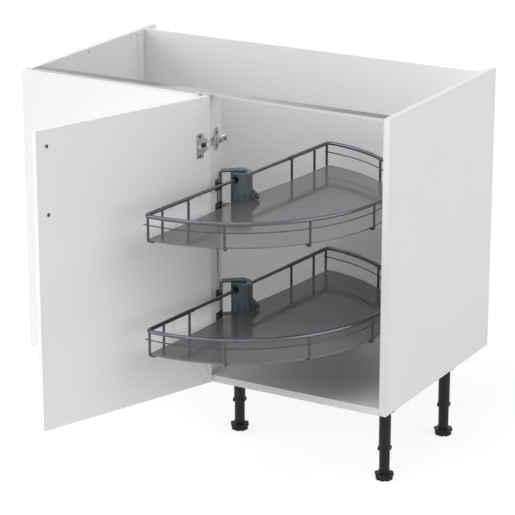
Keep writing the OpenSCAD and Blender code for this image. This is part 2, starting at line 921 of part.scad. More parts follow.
// Channel arm over the mounting plate, with its web towards the right
module hinge_arm(z) {
    color(plate_nickel) translate([0, 0, z]) difference() {
        translate([0, 0, -arm_w / 2]) linear_extrude(arm_w) {
            translate(link_pivot) circle(r = arm_head_r);
            polygon([
                [link_pivot[0] - arm_head_r, link_pivot[1]], [arm_top, link_pivot[1]],
                [arm_top, arm_end], [arm_low, arm_end], [arm_low, arm_web_start + arm_slope]
            ]);
        }
        translate([arm_low - over, 0, -slot_half])
            cube([arm_top - arm_web_t - arm_low + over, arm_end + over, 2 * slot_half]);
        translate([arm_low - over, 0, -slot_half])
            cube([arm_top - arm_low + 2 * over, arm_web_start, 2 * slot_half]);
        translate(link_pivot + [0, 0, -arm_w])
            cylinder(d = hinge_pin_d + 2 * hole_fit, h = 2 * arm_w);
        arm_screw_spots() translate([0, 0, -arm_web_t - over])
            cylinder(d = arm_screw_d + 2 * hole_fit, h = arm_web_t + 2 * over);
    }
}

module arm_pins() {
    pin_half = arm_w / 2 + 0.3;
    color(plate_nickel) for (z = hinge_z) {
        translate(link_pivot + [0, 0, z - pin_half])
            cylinder(d = hinge_pin_d, h = 2 * pin_half);
    }
}

module plate_screw_spots() {
    for (side = [-1, 1]) {
        translate([mullion_right + plate_t, plate_y, side * plate_screw_pitch / 2])
            rotate([0, 90, 0]) children();
    }
}

// Mounting plate on the mullion, with the block that the arm is screwed to
module mounting_plate(z) {
    block_w = link_w;
    color(plate_nickel) translate([0, 0, z]) difference() {
        union() {
            translate([mullion_right, plate_y - plate_w / 2, -(plate_len - plate_w) / 2])
                cube([plate_t, plate_w, plate_len - plate_w]);
            for (side = [-1, 1]) {
                translate([mullion_right, plate_y, side * (plate_len - plate_w) / 2])
                    rod_x(plate_w, plate_t);
            }
            translate([mullion_right, plate_block_y[0], -block_w / 2])
                cube([
                    plate_block_top - mullion_right,
                    plate_block_y[1] - plate_block_y[0], block_w
                ]);
        }
        plate_screw_spots() wood_screw_hole();
        arm_screw_spots() translate([0, 0, -arm_screw_len - over])
            cylinder(d = arm_screw_d + 2 * hole_fit, h = arm_screw_len + over);
    }
}

module plate_screws() {
    color(plate_nickel) for (z = hinge_z) {
        translate([0, 0, z]) plate_screw_spots() wood_screw();
    }
}

module arm_screws() {
    color(plate_nickel) for (z = hinge_z) {
        translate([0, 0, z]) arm_screw_spots()
            screw(arm_screw_d, arm_screw_len, arm_screw_head_d, arm_screw_head_h);
    }
}

// ---------------------------------------------------------------- carousel shelves
// A shelf's frame has its origin on the pivot at the board's top, its straight side along X
// and its curved side towards +Y.

// Half-round outline, inset from the line of the top rail
module shelf_outline(inset) {
    reach = 2 * shelf_r;
    corner = corner_bend - inset;
    ray = [reach * cos(bend_angle), reach * sin(bend_angle) - curve_back];
    intersection() {
        translate([0, -curve_back]) circle(r = shelf_r - inset, $fn = 180);
        polygon([[0, -curve_back], ray, [reach, reach], [-reach, reach], [-ray[0], ray[1]]]);
    }
    for (side = [-1, 1]) {
        translate([side * bend_x, corner_bend]) circle(r = corner);
    }
    translate([-bend_x, inset]) square([2 * bend_x, corner_bend - inset]);
}

module board() {
    color(board_grey) translate([0, 0, -board_t]) difference() {
        linear_extrude(board_t) difference() {
            shelf_outline(board_inset);
            circle(d = hub_d + 2 * notch_gap);
        }
        for (angle = board_screw_angles) {
            rotate(angle) translate([board_screw_r, 0, -over])
                cylinder(d = board_screw_d + 2 * hole_fit, h = board_screw_grip + 0.4 + over);
        }
    }
}

// Solid along the line of the top rail: the curve, two corner bends and two straight ends,
// with a ground weld bead where the curve meets each bend
module rail_path(d) {
    translate([0, -curve_back, 0]) rotate(bend_angle)
        rotate_extrude(angle = 180 - 2 * bend_angle, $fn = 180)
        translate([shelf_r, 0]) circle(d = d);
    for (side = [0, 1]) {
        mirror([side, 0, 0]) {
            translate([bend_x, corner_bend, 0]) rotate(-90)
                rotate_extrude(angle = 90 + bend_angle) translate([corner_bend, 0]) circle(d = d);
            translate([chord_rail_end, 0, 0]) rod_x(d, bend_x - chord_rail_end);
            translate([0, -curve_back, 0]) rotate(bend_angle) translate([shelf_r, 0, 0])
                sphere(d = d + 2 * weld_gap);
        }
    }
}

module top_rail() {
    color(rail_steel) translate([0, 0, rail_rise]) difference() {
        rail_path(top_rail_d);
        for (side = [0, 1]) {
            mirror([side, 0, 0]) translate([chord_rail_end - over, 0, 0])
                rod_x(crossbar_d + 2 * hole_fit, chord_socket + over);
        }
    }
}

// One post whose foot is bent in under the board, along -X
module post() {
    translate([0, 0, hook_z + hook_r]) cylinder(d = post_d, h = rail_rise - hook_z - hook_r);
    translate([-hook_r, 0, hook_z + hook_r]) rotate([-90, 0, 0])
        rotate_extrude(angle = 90) translate([hook_r, 0]) circle(d = post_d);
    translate([-hook_r - hook_run, 0, hook_z]) rod_x(post_d, hook_run);
}

module posts() {
    step = 180 / arc_post_bays;
    color(rail_steel) difference() {
        union() {
            for (i = [1:arc_post_bays - 1]) {
                translate([0, -curve_back, 0]) rotate(i * step) translate([shelf_r, 0, 0]) post();
            }
            for (side = [0, 1]) {
                mirror([side, 0, 0]) {
                    for (x = chord_post_x) {
                        translate([x, 0, 0]) rotate(-90) post();
                    }
                    translate([corner_post_x, corner_post_y, 0]) rotate(-90) post();
                }
            }
        }
        translate([0, 0, rail_rise]) rail_path(top_rail_d + 2 * weld_gap);
        translate([0, 0, rail_rise + post_d + top_rail_d / 2])
            cube([3 * shelf_r, 3 * shelf_r, 2 * post_d + top_rail_d], center = true);
    }
}

module mid_wire() {
    color(rail_steel) translate([0, -curve_back, rail_rise - wire_drop]) rotate(-wire_end_angle)
        rotate_extrude(angle = 180 + 2 * wire_end_angle, $fn = 180)
        translate([wire_r, 0]) circle(d = wire_d);
}

module crossbar() {
    inner = hub_d / 2 - crossbar_in_hub + 1;
    outer = chord_rail_end + chord_socket - 1;
    color(rail_steel) for (side = [0, 1]) {
        mirror([side, 0, 0]) translate([inner, 0, rail_rise]) rod_x(crossbar_d, outer - inner);
    }
}

// Clamp lug that stands out of the hub along +X, split for its screw
module hub_ear() {
    difference() {
        translate([0, -ear_w / 2, 0]) hull() {
            translate([hub_d / 2 - ear_root, 0, ear_low]) cube([ear_root, ear_w, ear_h]);
            translate([ear_r, 0, clamp_z]) rod_y(ear_eye_d, ear_w);
        }
        translate([ear_slit_in, -ear_slit / 2, ear_low - over])
            cube([ear_r, ear_slit, ear_h + 2 * over]);
    }
}

module clamp_screw_spot() {
    rotate(ear_angle) translate([ear_r, -ear_w / 2, clamp_z]) rotate([90, 0, 0]) children();
}

module board_screw_spots() {
    for (angle = board_screw_angles) {
        rotate(angle) translate([board_screw_r, 0, -board_t - hub_flange_t])
            rotate([180, 0, 0]) children();
    }
}

module hub() {
    flange_low = -board_t - hub_flange_t;
    hub_r = hub_d / 2;
    color(hub_grey) difference() {
        union() {
            translate([0, 0, flange_low]) cylinder(d = hub_d, h = hub_top - flange_low);
            translate([0, 0, hub_low]) cylinder(d = hub_collar_d, h = hub_collar_h + over);
            translate([0, 0, flange_low]) linear_extrude(hub_flange_t) intersection() {
                circle(r = hub_flange_r);
                translate([-hub_flange_r, board_inset])
                    square([2 * hub_flange_r, hub_flange_r]);
            }
            rotate(ear_angle) hub_ear();
        }
        translate([0, 0, hub_low - over])
            cylinder(d = pivot_pin_d + 2 * run_fit, h = hub_top - hub_low + 2 * over);
        translate([0, 0, hub_top - hub_cap_h]) rotate_extrude()
            translate([hub_r - hub_groove, 0]) square([hub_groove + over, hub_groove]);
        for (side = [0, 1]) {
            mirror([side, 0, 0]) {
                translate([hub_r - crossbar_in_hub, 0, rail_rise])
                    rod_x(crossbar_d + 2 * hole_fit, crossbar_in_hub + over);
                translate([hub_r - crossbar_mouth_h, 0, rail_rise])
                    rod_x(crossbar_mouth_d, crossbar_mouth_h + over);
            }
        }
        for (i = [1:hub_slots - 1]) {
            rotate(ear_angle + i * 360 / hub_slots)
                translate([hub_r - hub_slot_d, -hub_slot_w / 2, 0])
                cube([hub_slot_d + over, hub_slot_w, hub_slot_h]);
        }
        clamp_screw_spot() translate([0, 0, -clamp_screw_len - over])
            cylinder(d = clamp_screw_d + 2 * hole_fit, h = clamp_screw_len + 2 * over);
        board_screw_spots() translate([0, 0, -hub_flange_t - over])
            cylinder(d = board_screw_d + 2 * hole_fit, h = hub_flange_t + 2 * over);
    }
}

module hub_screws() {
    color(plate_nickel) {
        clamp_screw_spot() screw(clamp_screw_d, clamp_screw_len, clamp_head_d, clamp_head_h);
        board_screw_spots()
            screw(board_screw_d, hub_flange_t + board_screw_grip, board_head_d, board_head_h);
    }
}

// ---------------------------------------------------------------- shelf brackets

// Plan of a bracket: the origin on the pivot, its upright plate across +X at arm_reach
module on_bracket() {
    translate([pivot_x, pivot_y, 0]) rotate(180 + arm_slant) children();
}

module bracket_arm_outline() {
    on_bracket() {
        circle(d = arm_disc_d);
        translate([0, -arm_skew]) circle(d = bracket_w);
        polygon([
            [arm_reach, bracket_w / 2], [arm_reach, -bracket_w / 2],
            [0, -bracket_w / 2 - arm_skew], [0, bracket_w / 2 - arm_skew]
        ]);
    }
}

module bracket_screw_spots() {
    for (spot = bracket_screws_at) {
        translate([mullion_right + ear_t, spot[0], spot[1]]) rotate([0, 90, 0]) children();
    }
}

// Fixed bracket: an upright plate at the mullion's rear edge, ears on its right face, two arms
module shelf_bracket(z) {
    ear_y = mullion_d - ear_reach;
    ear_len = ear_reach + rear_plate_t;
    plate_top = top_arm_z + arm_plate_t;
    color("dimgray") translate([0, 0, z]) difference() {
        union() {
            on_bracket() translate([arm_reach - rear_plate_t, -bracket_w / 2, -bracket_drop])
                cube([rear_plate_t, bracket_w, plate_top + bracket_drop]);
            for (arm_z = [top_arm_z, low_arm_z]) {
                translate([0, 0, arm_z]) linear_extrude(arm_plate_t) bracket_arm_outline();
            }
            for (ear = [upper_ear_z, lower_ear_z]) {
                translate([mullion_right, ear_y, ear[0]]) cube([ear_t, ear_len, ear[1] - ear[0]]);
            }
            translate([mullion_right, ear_y, upper_ear_z[0]])
                cube([ear_t, upper_tab_w, upper_tab_top - upper_ear_z[0]]);
        }
        bracket_screw_spots() wood_screw_hole();
        translate([pivot_x, pivot_y, low_arm_z - over])
            cylinder(d = pivot_pin_d + 2 * hole_fit, h = plate_top - low_arm_z + 2 * over);
    }
}

// Pin through both arms and the hub, with a cap above and a clip below
module pivot_pin(z) {
    top = top_arm_z + arm_plate_t;
    color(plate_nickel) translate([pivot_x, pivot_y, z]) {
        translate([0, 0, low_arm_z]) cylinder(d = pivot_pin_d, h = top - low_arm_z);
        for (cap_z = [top, low_arm_z - pin_cap_h]) {
            translate([0, 0, cap_z]) cylinder(d = pin_cap_d, h = pin_cap_h);
        }
    }
}

module bracket_screws() {
    color(plate_nickel) for (z = shelf_z) {
        translate([0, 0, z]) bracket_screw_spots() wood_screw();
    }
}

// ---------------------------------------------------------------- legs
// A leg's frame has its origin on the floor, with its tab towards +X.

module tab_screw_spots() {
    for (side = [-1, 1]) {
        translate([tab_screw_x, side * tab_screw_y, leg_h - flange_t])
            rotate([180, 0, 0]) children();
    }
}

module leg_socket() {
    bore_d = lower_tube_d + 2 * run_fit;
    color(leg_black) difference() {
        union() {
            translate([0, 0, leg_h - flange_t]) cylinder(d = flange_d, h = flange_t);
            translate([0, -tab_w / 2, leg_h - flange_t]) cube([tab_len, tab_w, flange_t]);
            translate([0, 0, socket_low]) cylinder(d = socket_tube_d, h = leg_h - socket_low);
            translate([0, 0, socket_low]) cylinder(d = collar_d, h = collar_h);
            for (turn = [45:90:315]) {
                rotate(turn) translate([0, -nub_w / 2, socket_low])
                    cube([collar_d / 2 + nub_out, nub_w, nub_h]);
            }
        }
        translate([0, 0, socket_low - over])
            cylinder(d = bore_d, h = leg_h - socket_roof - socket_low + over);
        tab_screw_spots() wood_screw_hole();
    }
}

// Lobed grip of the foot
module foot_lobes_outline() {
    circle(d = foot_core_d);
    for (i = [0:foot_lobes - 1]) {
        rotate((i + 0.25) * 360 / foot_lobes) translate([foot_d / 2 - lobe_r, 0])
            rotate(90) circle(r = lobe_r);
    }
}

// Lower tube with its lobed foot, which the hand turns to set the height
module leg_foot() {
    color(leg_black) difference() {
        union() {
            cylinder(d = foot_base_d, h = foot_h - lobe_step);
            translate([0, 0, foot_h - lobe_h]) linear_extrude(lobe_h) foot_lobes_outline();
            cylinder(d = lower_tube_d, h = socket_low + tube_grip);
        }
        for (i = [0:foot_lobes - 1]) {
            rotate((i + 0.75) * 360 / foot_lobes)
                translate([foot_base_d / 2 - foot_notch_in, -foot_notch_w / 2, -over])
                cube([foot_base_d, foot_notch_w, foot_notch_h + over]);
        }
    }
}

module leg_screws() {
    color(plate_nickel) for (i = [0:len(leg_spots) - 1]) {
        on_leg(i) tab_screw_spots() wood_screw();
    }
}

// ---------------------------------------------------------------- nodes

in_place() left_side();
in_place() right_side();
in_place() base_panel();
in_place() back_panel();
in_place() front_rail();
in_place() rail_end_brackets();
in_place() rail_screws();
in_place() mullion();
in_place() blank_panel();
in_place() blank_brackets();
in_place() blank_screws();
in_place() carcass_dowels();
in_place() cam_locks();
in_place() cam_bolts();

in_place() on_door() door();
in_place() on_door() handle();
in_place() on_door() handle_screws();
in_place() on_door() hinge_cup(hinge_z[0]);  // upper_hinge_cup
in_place() on_door() hinge_cup(hinge_z[1]);  // lower_hinge_cup
in_place() on_door() cup_pins();
in_place() on_door() cup_screws();
in_place() on_link() hinge_link(hinge_z[0]);  // upper_hinge_link
in_place() on_link() hinge_link(hinge_z[1]);  // lower_hinge_link
in_place() hinge_arm(hinge_z[0]);  // upper_hinge_arm
in_place() hinge_arm(hinge_z[1]);  // lower_hinge_arm
in_place() mounting_plate(hinge_z[0]);  // upper_mounting_plate
in_place() mounting_plate(hinge_z[1]);  // lower_mounting_plate
in_place() arm_pins();
in_place() plate_screws();
in_place() arm_screws();

in_place() on_shelf(shelf_z[0]) board();  // upper_board
in_place() on_shelf(shelf_z[0]) top_rail();  // upper_top_rail
in_place() on_shelf(shelf_z[0]) posts();  // upper_posts
in_place() on_shelf(shelf_z[0]) mid_wire();  // upper_mid_wire
in_place() on_shelf(shelf_z[0]) crossbar();  // upper_crossbar
in_place() on_shelf(shelf_z[0]) hub();  // upper_hub
in_place() on_shelf(shelf_z[0]) hub_screws();  // upper_hub_screws
in_place() on_shelf(shelf_z[1]) board();  // lower_board
in_place() on_shelf(shelf_z[1]) top_rail();  // lower_top_rail
in_place() on_shelf(shelf_z[1]) posts();  // lower_posts
in_place() on_shelf(shelf_z[1]) mid_wire();  // lower_mid_wire
in_place() on_shelf(shelf_z[1]) crossbar();  // lower_crossbar
in_place() on_shelf(shelf_z[1]) hub();  // lower_hub
in_place() on_shelf(shelf_z[1]) hub_screws();  // lower_hub_screws
in_place() shelf_bracket(shelf_z[0]);  // upper_bracket
in_place() shelf_bracket(shelf_z[1]);  // lower_bracket
in_place() pivot_pin(shelf_z[0]);  // upper_pivot_pin
in_place() pivot_pin(shelf_z[1]);  // lower_pivot_pin
in_place() bracket_screws();

in_place() on_leg(0) leg_socket();  // leg_socket_front_left
in_place() on_leg(1) leg_socket();  // leg_socket_front_right
in_place() on_leg(2) leg_socket();  // leg_socket_rear_left
in_place() on_leg(3) leg_socket();  // leg_socket_rear_right
in_place() on_leg(4) leg_socket();  // leg_socket_middle
in_place() on_leg(0) leg_foot();  // leg_foot_front_left
in_place() on_leg(1) leg_foot();  // leg_foot_front_right
in_place() on_leg(2) leg_foot();  // leg_foot_rear_left
in_place() on_leg(3) leg_foot();  // leg_foot_rear_right
in_place() on_leg(4) leg_foot();  // leg_foot_middle
in_place() leg_screws();
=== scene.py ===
import json
import math

import bmesh
import bpy
import numpy as np
from bpy.props import FloatProperty, FloatVectorProperty, IntProperty, PointerProperty
from mathutils import Matrix, Vector

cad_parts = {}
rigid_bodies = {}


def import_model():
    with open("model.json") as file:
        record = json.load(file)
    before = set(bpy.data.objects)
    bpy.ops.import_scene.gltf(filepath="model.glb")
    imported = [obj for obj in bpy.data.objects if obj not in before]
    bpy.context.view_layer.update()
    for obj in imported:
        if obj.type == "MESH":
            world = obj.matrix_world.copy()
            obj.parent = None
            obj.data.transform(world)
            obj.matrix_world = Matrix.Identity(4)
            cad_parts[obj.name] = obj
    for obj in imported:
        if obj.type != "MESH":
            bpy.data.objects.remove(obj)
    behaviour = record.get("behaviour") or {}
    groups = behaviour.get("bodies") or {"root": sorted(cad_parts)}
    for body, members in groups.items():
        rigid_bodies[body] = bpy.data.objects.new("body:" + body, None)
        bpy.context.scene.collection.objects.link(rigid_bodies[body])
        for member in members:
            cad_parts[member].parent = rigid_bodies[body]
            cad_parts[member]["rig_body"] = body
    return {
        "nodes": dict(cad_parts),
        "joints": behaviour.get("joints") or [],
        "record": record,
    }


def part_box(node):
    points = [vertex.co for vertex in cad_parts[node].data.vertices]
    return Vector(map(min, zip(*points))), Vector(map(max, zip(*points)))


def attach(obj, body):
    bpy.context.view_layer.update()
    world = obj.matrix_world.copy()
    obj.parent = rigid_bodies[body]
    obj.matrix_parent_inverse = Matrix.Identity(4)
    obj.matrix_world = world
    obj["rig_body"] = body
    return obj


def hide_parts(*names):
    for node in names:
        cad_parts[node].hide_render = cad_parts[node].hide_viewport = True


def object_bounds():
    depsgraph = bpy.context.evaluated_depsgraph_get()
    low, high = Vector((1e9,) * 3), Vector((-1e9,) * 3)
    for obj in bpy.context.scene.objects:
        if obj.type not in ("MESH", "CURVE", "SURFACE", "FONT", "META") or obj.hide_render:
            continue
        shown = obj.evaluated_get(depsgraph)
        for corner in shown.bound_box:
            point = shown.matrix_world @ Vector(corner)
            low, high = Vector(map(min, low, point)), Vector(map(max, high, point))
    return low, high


bl_info = {
    "name": "Corner carousel cabinet",
    "version": (1, 0, 0),
    "blender": (4, 5, 0),
    "location": "3D View > Sidebar > Cabinet",
    "description": "Finishes, rails, screws and studio of a corner cabinet with turning shelves",
    "category": "Object",
}

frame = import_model()
CAD_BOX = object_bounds()

NODES = frame["nodes"]
SLOT_OF = {part["node"]: part["material_slot"] for part in frame["record"]["subparts"]}
JOINT = {joint["name"]: joint for joint in frame["joints"]}
LEVELS = ("upper", "lower")
LEGS = ("front_left", "front_right", "rear_left", "rear_right", "middle")
MM = 0.001
MERGE = 0.002 * MM      # vertices closer than this are one
FLAT = math.radians(1)  # faces that turn less than this are one face
BEVELLED = math.radians(40)   # edges that turn more than this get rounded
CREASE = math.radians(40)     # edges that turn more than this look sharp
SCREW_CREASE = math.radians(30)
ON_LEVEL = 0.01 * MM    # vertices of a screw this close together count as one level
CORE = 0.2              # share of a solid's radius within which vertices belong to its ends

ARC_SIDES = 150         # straight pieces in the curve of a rail or a wire
BEND_SIDES = 14         # straight pieces in a bend at the end of a rail
HOOK_SIDES = 8          # straight pieces in the bend of a post's hook
WIRE_SIDES = 12         # faces around the thin wire
POST_SIDES = 16         # faces around a post
HOOK_INSIDE = 1.0 * MM  # inner radius of the bend of a post's hook
DOME_RINGS = 12         # rings of faces in a screw's domed head
RECESS_LENGTH = 0.6     # the cross recess, as shares of the head's diameter
RECESS_WIDTH = 0.14
LIP_PAINTED_HIGHLIGHT = (0.7 * MM, 1.5 * MM)        # where the painted highlight of the front rail's pale lip ends, behind its front
PAINTED_REFLECTION_LEFT = (-140 * MM, -60 * MM)       # where the rail's top turns bright, from the left; painted reflection, darker towards the left end
PAINTED_REFLECTION_RIGHT = (100 * MM, 400 * MM)       # where the rail's top turns dull again; painted reflection, darker towards the right end
FLOOR_HALF = 30.0       # half the floor's width, in metres
FLOOR_GAP = 0.2 * MM    # the floor lies this far below the feet
FURTHEST = 100.0        # the camera sees no further than this, in metres

PANELS = ("left_side", "right_side", "base_panel", "mullion", "blank_panel", "door")
HINGE_PARTS = ("hinge_cup", "hinge_link", "hinge_arm", "mounting_plate")
LAMP_PLACES = {         # turn from the front towards the right, and height, in degrees
    "left_light": (-60, 15), "right_light": (90, 15), "front_light": (-30, 40),
    "top_light": (0, 65), "rear_light": (-120, 15),
}
SIDEWAYS = Vector((1, 0, 0))
BACKWARDS = Vector((0, 1, 0))
UPWARDS = Vector((0, 0, 1))


# ---------------------------------------------------------------- reading the frame

def vertex_table(node):
    """The node's vertices as rows of x, y and z."""
    mesh = NODES[node].data
    flat = np.empty(len(mesh.vertices) * 3)
    mesh.vertices.foreach_get("co", flat)
    return flat.reshape(-1, 3)


def merged(mesh):
    """The mesh as a bmesh, with its loose triangles joined."""
    bm = bmesh.new()
    bm.from_mesh(mesh)
    bmesh.ops.remove_doubles(bm, verts=bm.verts, dist=MERGE)
    return bm


def separate_solids(node):
    """The vertices of each separate solid in a node, as one table each."""
    bm = merged(NODES[node].data)
    left = set(bm.verts)
    solids = []
    while left:
        stack = [left.pop()]
        solid = []
        while stack:
            vertex = stack.pop()
            solid.append(vertex.co[:])
            for edge in vertex.link_edges:
                other = edge.other_vert(vertex)
                if other in left:
                    left.remove(other)
                    stack.append(other)
        solids.append(np.array(solid))
    bm.free()
    return solids


def long_direction(points):
    """Unit vector along which the points reach furthest."""
    centred = points - points.mean(axis=0)
    return Vector(np.linalg.svd(centred, full_matrices=False)[2][0])


def shelf_place(level):
    """Matrix of a shelf's own frame: X along its straight side, Z = 0 on top of its board."""
    along = long_direction(vertex_table(f"{level}_crossbar"))
    along = Vector((along.x, along.y, 0)).normalized() * (-1 if along.y > 0 else 1)
    across = UPWARDS.cross(along)
    pivot = JOINT[f"{level}_shelf_turn"]["pos_m"]
    board_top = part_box(f"{level}_board")[1].z
    turned = Matrix((along, across, UPWARDS)).transposed().to_4x4()
    return Matrix.Translation((pivot[0], pivot[1], board_top)) @ turned


def in_place_of(points, place):
    """The points, measured in the frame of the matrix."""
    inverse = np.array(place.inverted())
    return points @ inverse[:3, :3].T + inverse[:3, 3]


def door_normal():
    """Unit vector out of the door's outer face."""
    handle = Vector(vertex_table("handle").mean(axis=0))
    door = NODES["door"].data
    broad = max(door.polygons, key=lambda face: face.area)
    outwards = broad.normal.normalized()
    return outwards if outwards.dot(handle - broad.center) > 0 else -outwards


# ---------------------------------------------------------------- making pieces

def new_piece(name, mesh):
    """An object at the origin that holds the mesh."""
    piece = bpy.data.objects.new(name, mesh)
    bpy.context.scene.collection.objects.link(piece)
    return piece


def made_plain(piece):
    """Bakes the modifiers of a piece into its mesh and takes them off."""
    depsgraph = bpy.context.evaluated_depsgraph_get()
    before = piece.data
    piece.data = bpy.data.meshes.new_from_object(
        piece.evaluated_get(depsgraph), preserve_all_data_layers=True, depsgraph=depsgraph)
    piece.modifiers.clear()
    bpy.data.meshes.remove(before)
    if not piece.data.polygons:
        raise RuntimeError(f"{piece.name} came out empty")
    return piece


def turned_outwards(piece, crease):
    """Points every face outwards, and keeps edges sharper than the crease angle sharp."""
    bm = merged(piece.data)
    bmesh.ops.recalc_face_normals(bm, faces=bm.faces)
    bm.to_mesh(piece.data)
    bm.free()
    piece.data.shade_smooth()
    piece.data.set_sharp_from_angle(angle=crease)
    return piece


def handed_over(piece, *nodes):
    """Lets a finished piece stand for the nodes, on their body and in their finish."""
    slots = {SLOT_OF[node] for node in nodes}
    bodies = {NODES[node]["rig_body"] for node in nodes}
    if len(slots) != 1 or len(bodies) != 1:
        raise RuntimeError(f"{piece.name} spans {sorted(bodies)} in {sorted(slots)}")
    if not piece.data.materials:
        piece.data.materials.append(finish(slots.copy().pop()))
    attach(piece, bodies.pop())
    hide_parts(*nodes)
    slots.pop()
    return piece


def softened(node, rounding, steps=2, seam=None):
    """A copy of a node with rounded edges. A board's roundings have the seam's material."""
    mesh = NODES[node].data.copy()
    bm = merged(mesh)
    bmesh.ops.dissolve_limit(bm, angle_limit=FLAT, verts=bm.verts, edges=bm.edges)
    for face in bm.faces:
        face.smooth = True
    bm.to_mesh(mesh)
    bm.free()
    mesh.materials.clear()
    mesh.materials.append(finish(SLOT_OF[node]))
    piece = new_piece(f"{node}.finished", mesh)
    bevel = piece.modifiers.new("rounding", "BEVEL")
    bevel.width = rounding
    bevel.segments = steps
    bevel.limit_method = "ANGLE"
    bevel.angle_limit = BEVELLED
    bevel.use_clamp_overlap = False
    if seam:
        mesh.materials.append(finish(seam))
        bevel.material = 1
    even = piece.modifiers.new("even_faces", "WEIGHTED_NORMAL")
    even.mode = "FACE_AREA"
    return handed_over(made_plain(piece), node)


def path_mesh(name, paths):
    """A mesh of open lines, one for each list of points."""
    vertices = [point for path in paths for point in path]
    edges = []
    start = 0
    for path in paths:
        edges += [(start + i, start + i + 1) for i in range(len(path) - 1)]
        start += len(path)
    mesh = bpy.data.meshes.new(name)
    mesh.from_pydata([tuple(v) for v in vertices], edges, [])
    return mesh


def arc(centre, radius, start, end, steps):
    """Points on an arc in the XY plane, from one angle to another."""
    turn = [start + (end - start) * i / steps for i in range(steps + 1)]
    return [centre + Vector((math.cos(a), math.sin(a), 0)) * radius for a in turn]


# ---------------------------------------------------------------- node helpers

class Nodes:
    """Adds nodes to a tree and joins them in one call."""

    def __init__(self, tree):
        self.tree = tree
        self.tree.nodes.clear()

    def add(self, kind, inputs=None, **settings):
        """A new node. An input is a value, a socket to join, or a list of sockets."""
        node = self.tree.nodes.new(kind)
        node.location = (200 * len(self.tree.nodes), 0)
        for name, value in settings.items():
            setattr(node, name, value)
        for name, value in (inputs or {}).items():
            if isinstance(value, bpy.types.NodeSocket):
                self.tree.links.new(value, node.inputs[name])
            elif isinstance(value, list):
                for socket in value:
                    self.tree.links.new(socket, node.inputs[name])
            else:
                node.inputs[name].default_value = value
        return node

    def math(self, operation, a, b=0.0):
        """Output of a Math node on two values or sockets."""
        node = self.add("ShaderNodeMath", {0: a, 1: b}, operation=operation)
        return node.outputs[0]

    def vector(self, x=0.0, y=0.0, z=0.0):
        """Output of a Combine XYZ node."""
        return self.add("ShaderNodeCombineXYZ", {0: x, 1: y, 2: z}).outputs[0]


def geometry_tree(name, sizes):
    """An empty geometry tree, its nodes and its group input, with the named inputs."""
    tree = bpy.data.node_groups.new(name, "GeometryNodeTree")
    kinds = {"Material": "NodeSocketMaterial", "Sides": "NodeSocketInt", "Path": "NodeSocketObject"}
    for label in ("Geometry", *sizes, "Material"):
        kind = "NodeSocketGeometry" if label == "Geometry" else kinds.get(label, "NodeSocketFloat")
        tree.interface.new_socket(label, in_out="INPUT", socket_type=kind)
    tree.interface.new_socket("Geometry", in_out="OUTPUT", socket_type="NodeSocketGeometry")
    nodes = Nodes(tree)
    return tree, nodes, nodes.add("NodeGroupInput").outputs


def finish_tree(nodes, geometry, material):
    """Ends a geometry tree: real geometry, smooth, in the material."""
    real = nodes.add("GeometryNodeRealizeInstances", {"Geometry": geometry})
    smooth = nodes.add("GeometryNodeSetShadeSmooth", {"Geometry": real.outputs[0]})
    painted = nodes.add(
        "GeometryNodeSetMaterial", {"Geometry": smooth.outputs[0], "Material": material})
    nodes.add("NodeGroupOutput", {"Geometry": painted.outputs[0]})


def grown(name, mesh, tree, crease=CREASE, **sizes):
    """A plain piece that the tree makes out of the mesh, with its named inputs set."""
    piece = new_piece(name, mesh)
    modifier = piece.modifiers.new(tree.name, "NODES")
    modifier.node_group = tree
    for socket in tree.interface.items_tree:
        if socket.in_out == "INPUT" and socket.name in sizes:
            modifier[socket.identifier] = sizes[socket.name]
    return turned_outwards(made_plain(piece), crease)


# ---------------------------------------------------------------- geometry trees

def round_bar_tree():
    """Round bars along the lines of a mesh."""
    name = "round_bars"
    if name in bpy.data.node_groups:
        return bpy.data.node_groups[name]
    tree, nodes, given = geometry_tree(name, ("Diameter", "Sides"))
    line = nodes.add("GeometryNodeMeshToCurve", {"Mesh": given["Geometry"]})
    section = nodes.add("GeometryNodeCurvePrimitiveCircle", {
        "Resolution": given["Sides"], "Radius": nodes.math("MULTIPLY", given["Diameter"], 0.5)})
    bar = nodes.add("GeometryNodeCurveToMesh", {
        "Curve": line.outputs[0], "Profile Curve": section.outputs[0], "Fill Caps": True})
    finish_tree(nodes, bar.outputs[0], given["Material"])
    return tree


def hooked_post_tree():
    """The same bent rod at every point of a mesh, turned as the point's attribute says."""
    name = "hooked_posts"
    if name in bpy.data.node_groups:
        return bpy.data.node_groups[name]
    tree, nodes, given = geometry_tree(name, ("Path", "Diameter", "Sides"))
    rod = nodes.add("GeometryNodeObjectInfo", {"Object": given["Path"]})
    line = nodes.add("GeometryNodeMeshToCurve", {"Mesh": rod.outputs["Geometry"]})
    section = nodes.add("GeometryNodeCurvePrimitiveCircle", {
        "Resolution": given["Sides"], "Radius": nodes.math("MULTIPLY", given["Diameter"], 0.5)})
    post = nodes.add("GeometryNodeCurveToMesh", {
        "Curve": line.outputs[0], "Profile Curve": section.outputs[0], "Fill Caps": True})
    turn = nodes.add("GeometryNodeInputNamedAttribute", {"Name": "turn"}, data_type="FLOAT_VECTOR")
    rotation = nodes.add("FunctionNodeEulerToRotation", {"Euler": turn.outputs["Attribute"]})
    placed = nodes.add("GeometryNodeInstanceOnPoints", {
        "Points": given["Geometry"], "Instance": post.outputs[0], "Rotation": rotation.outputs[0]})
    finish_tree(nodes, placed.outputs[0], given["Material"])
    return tree


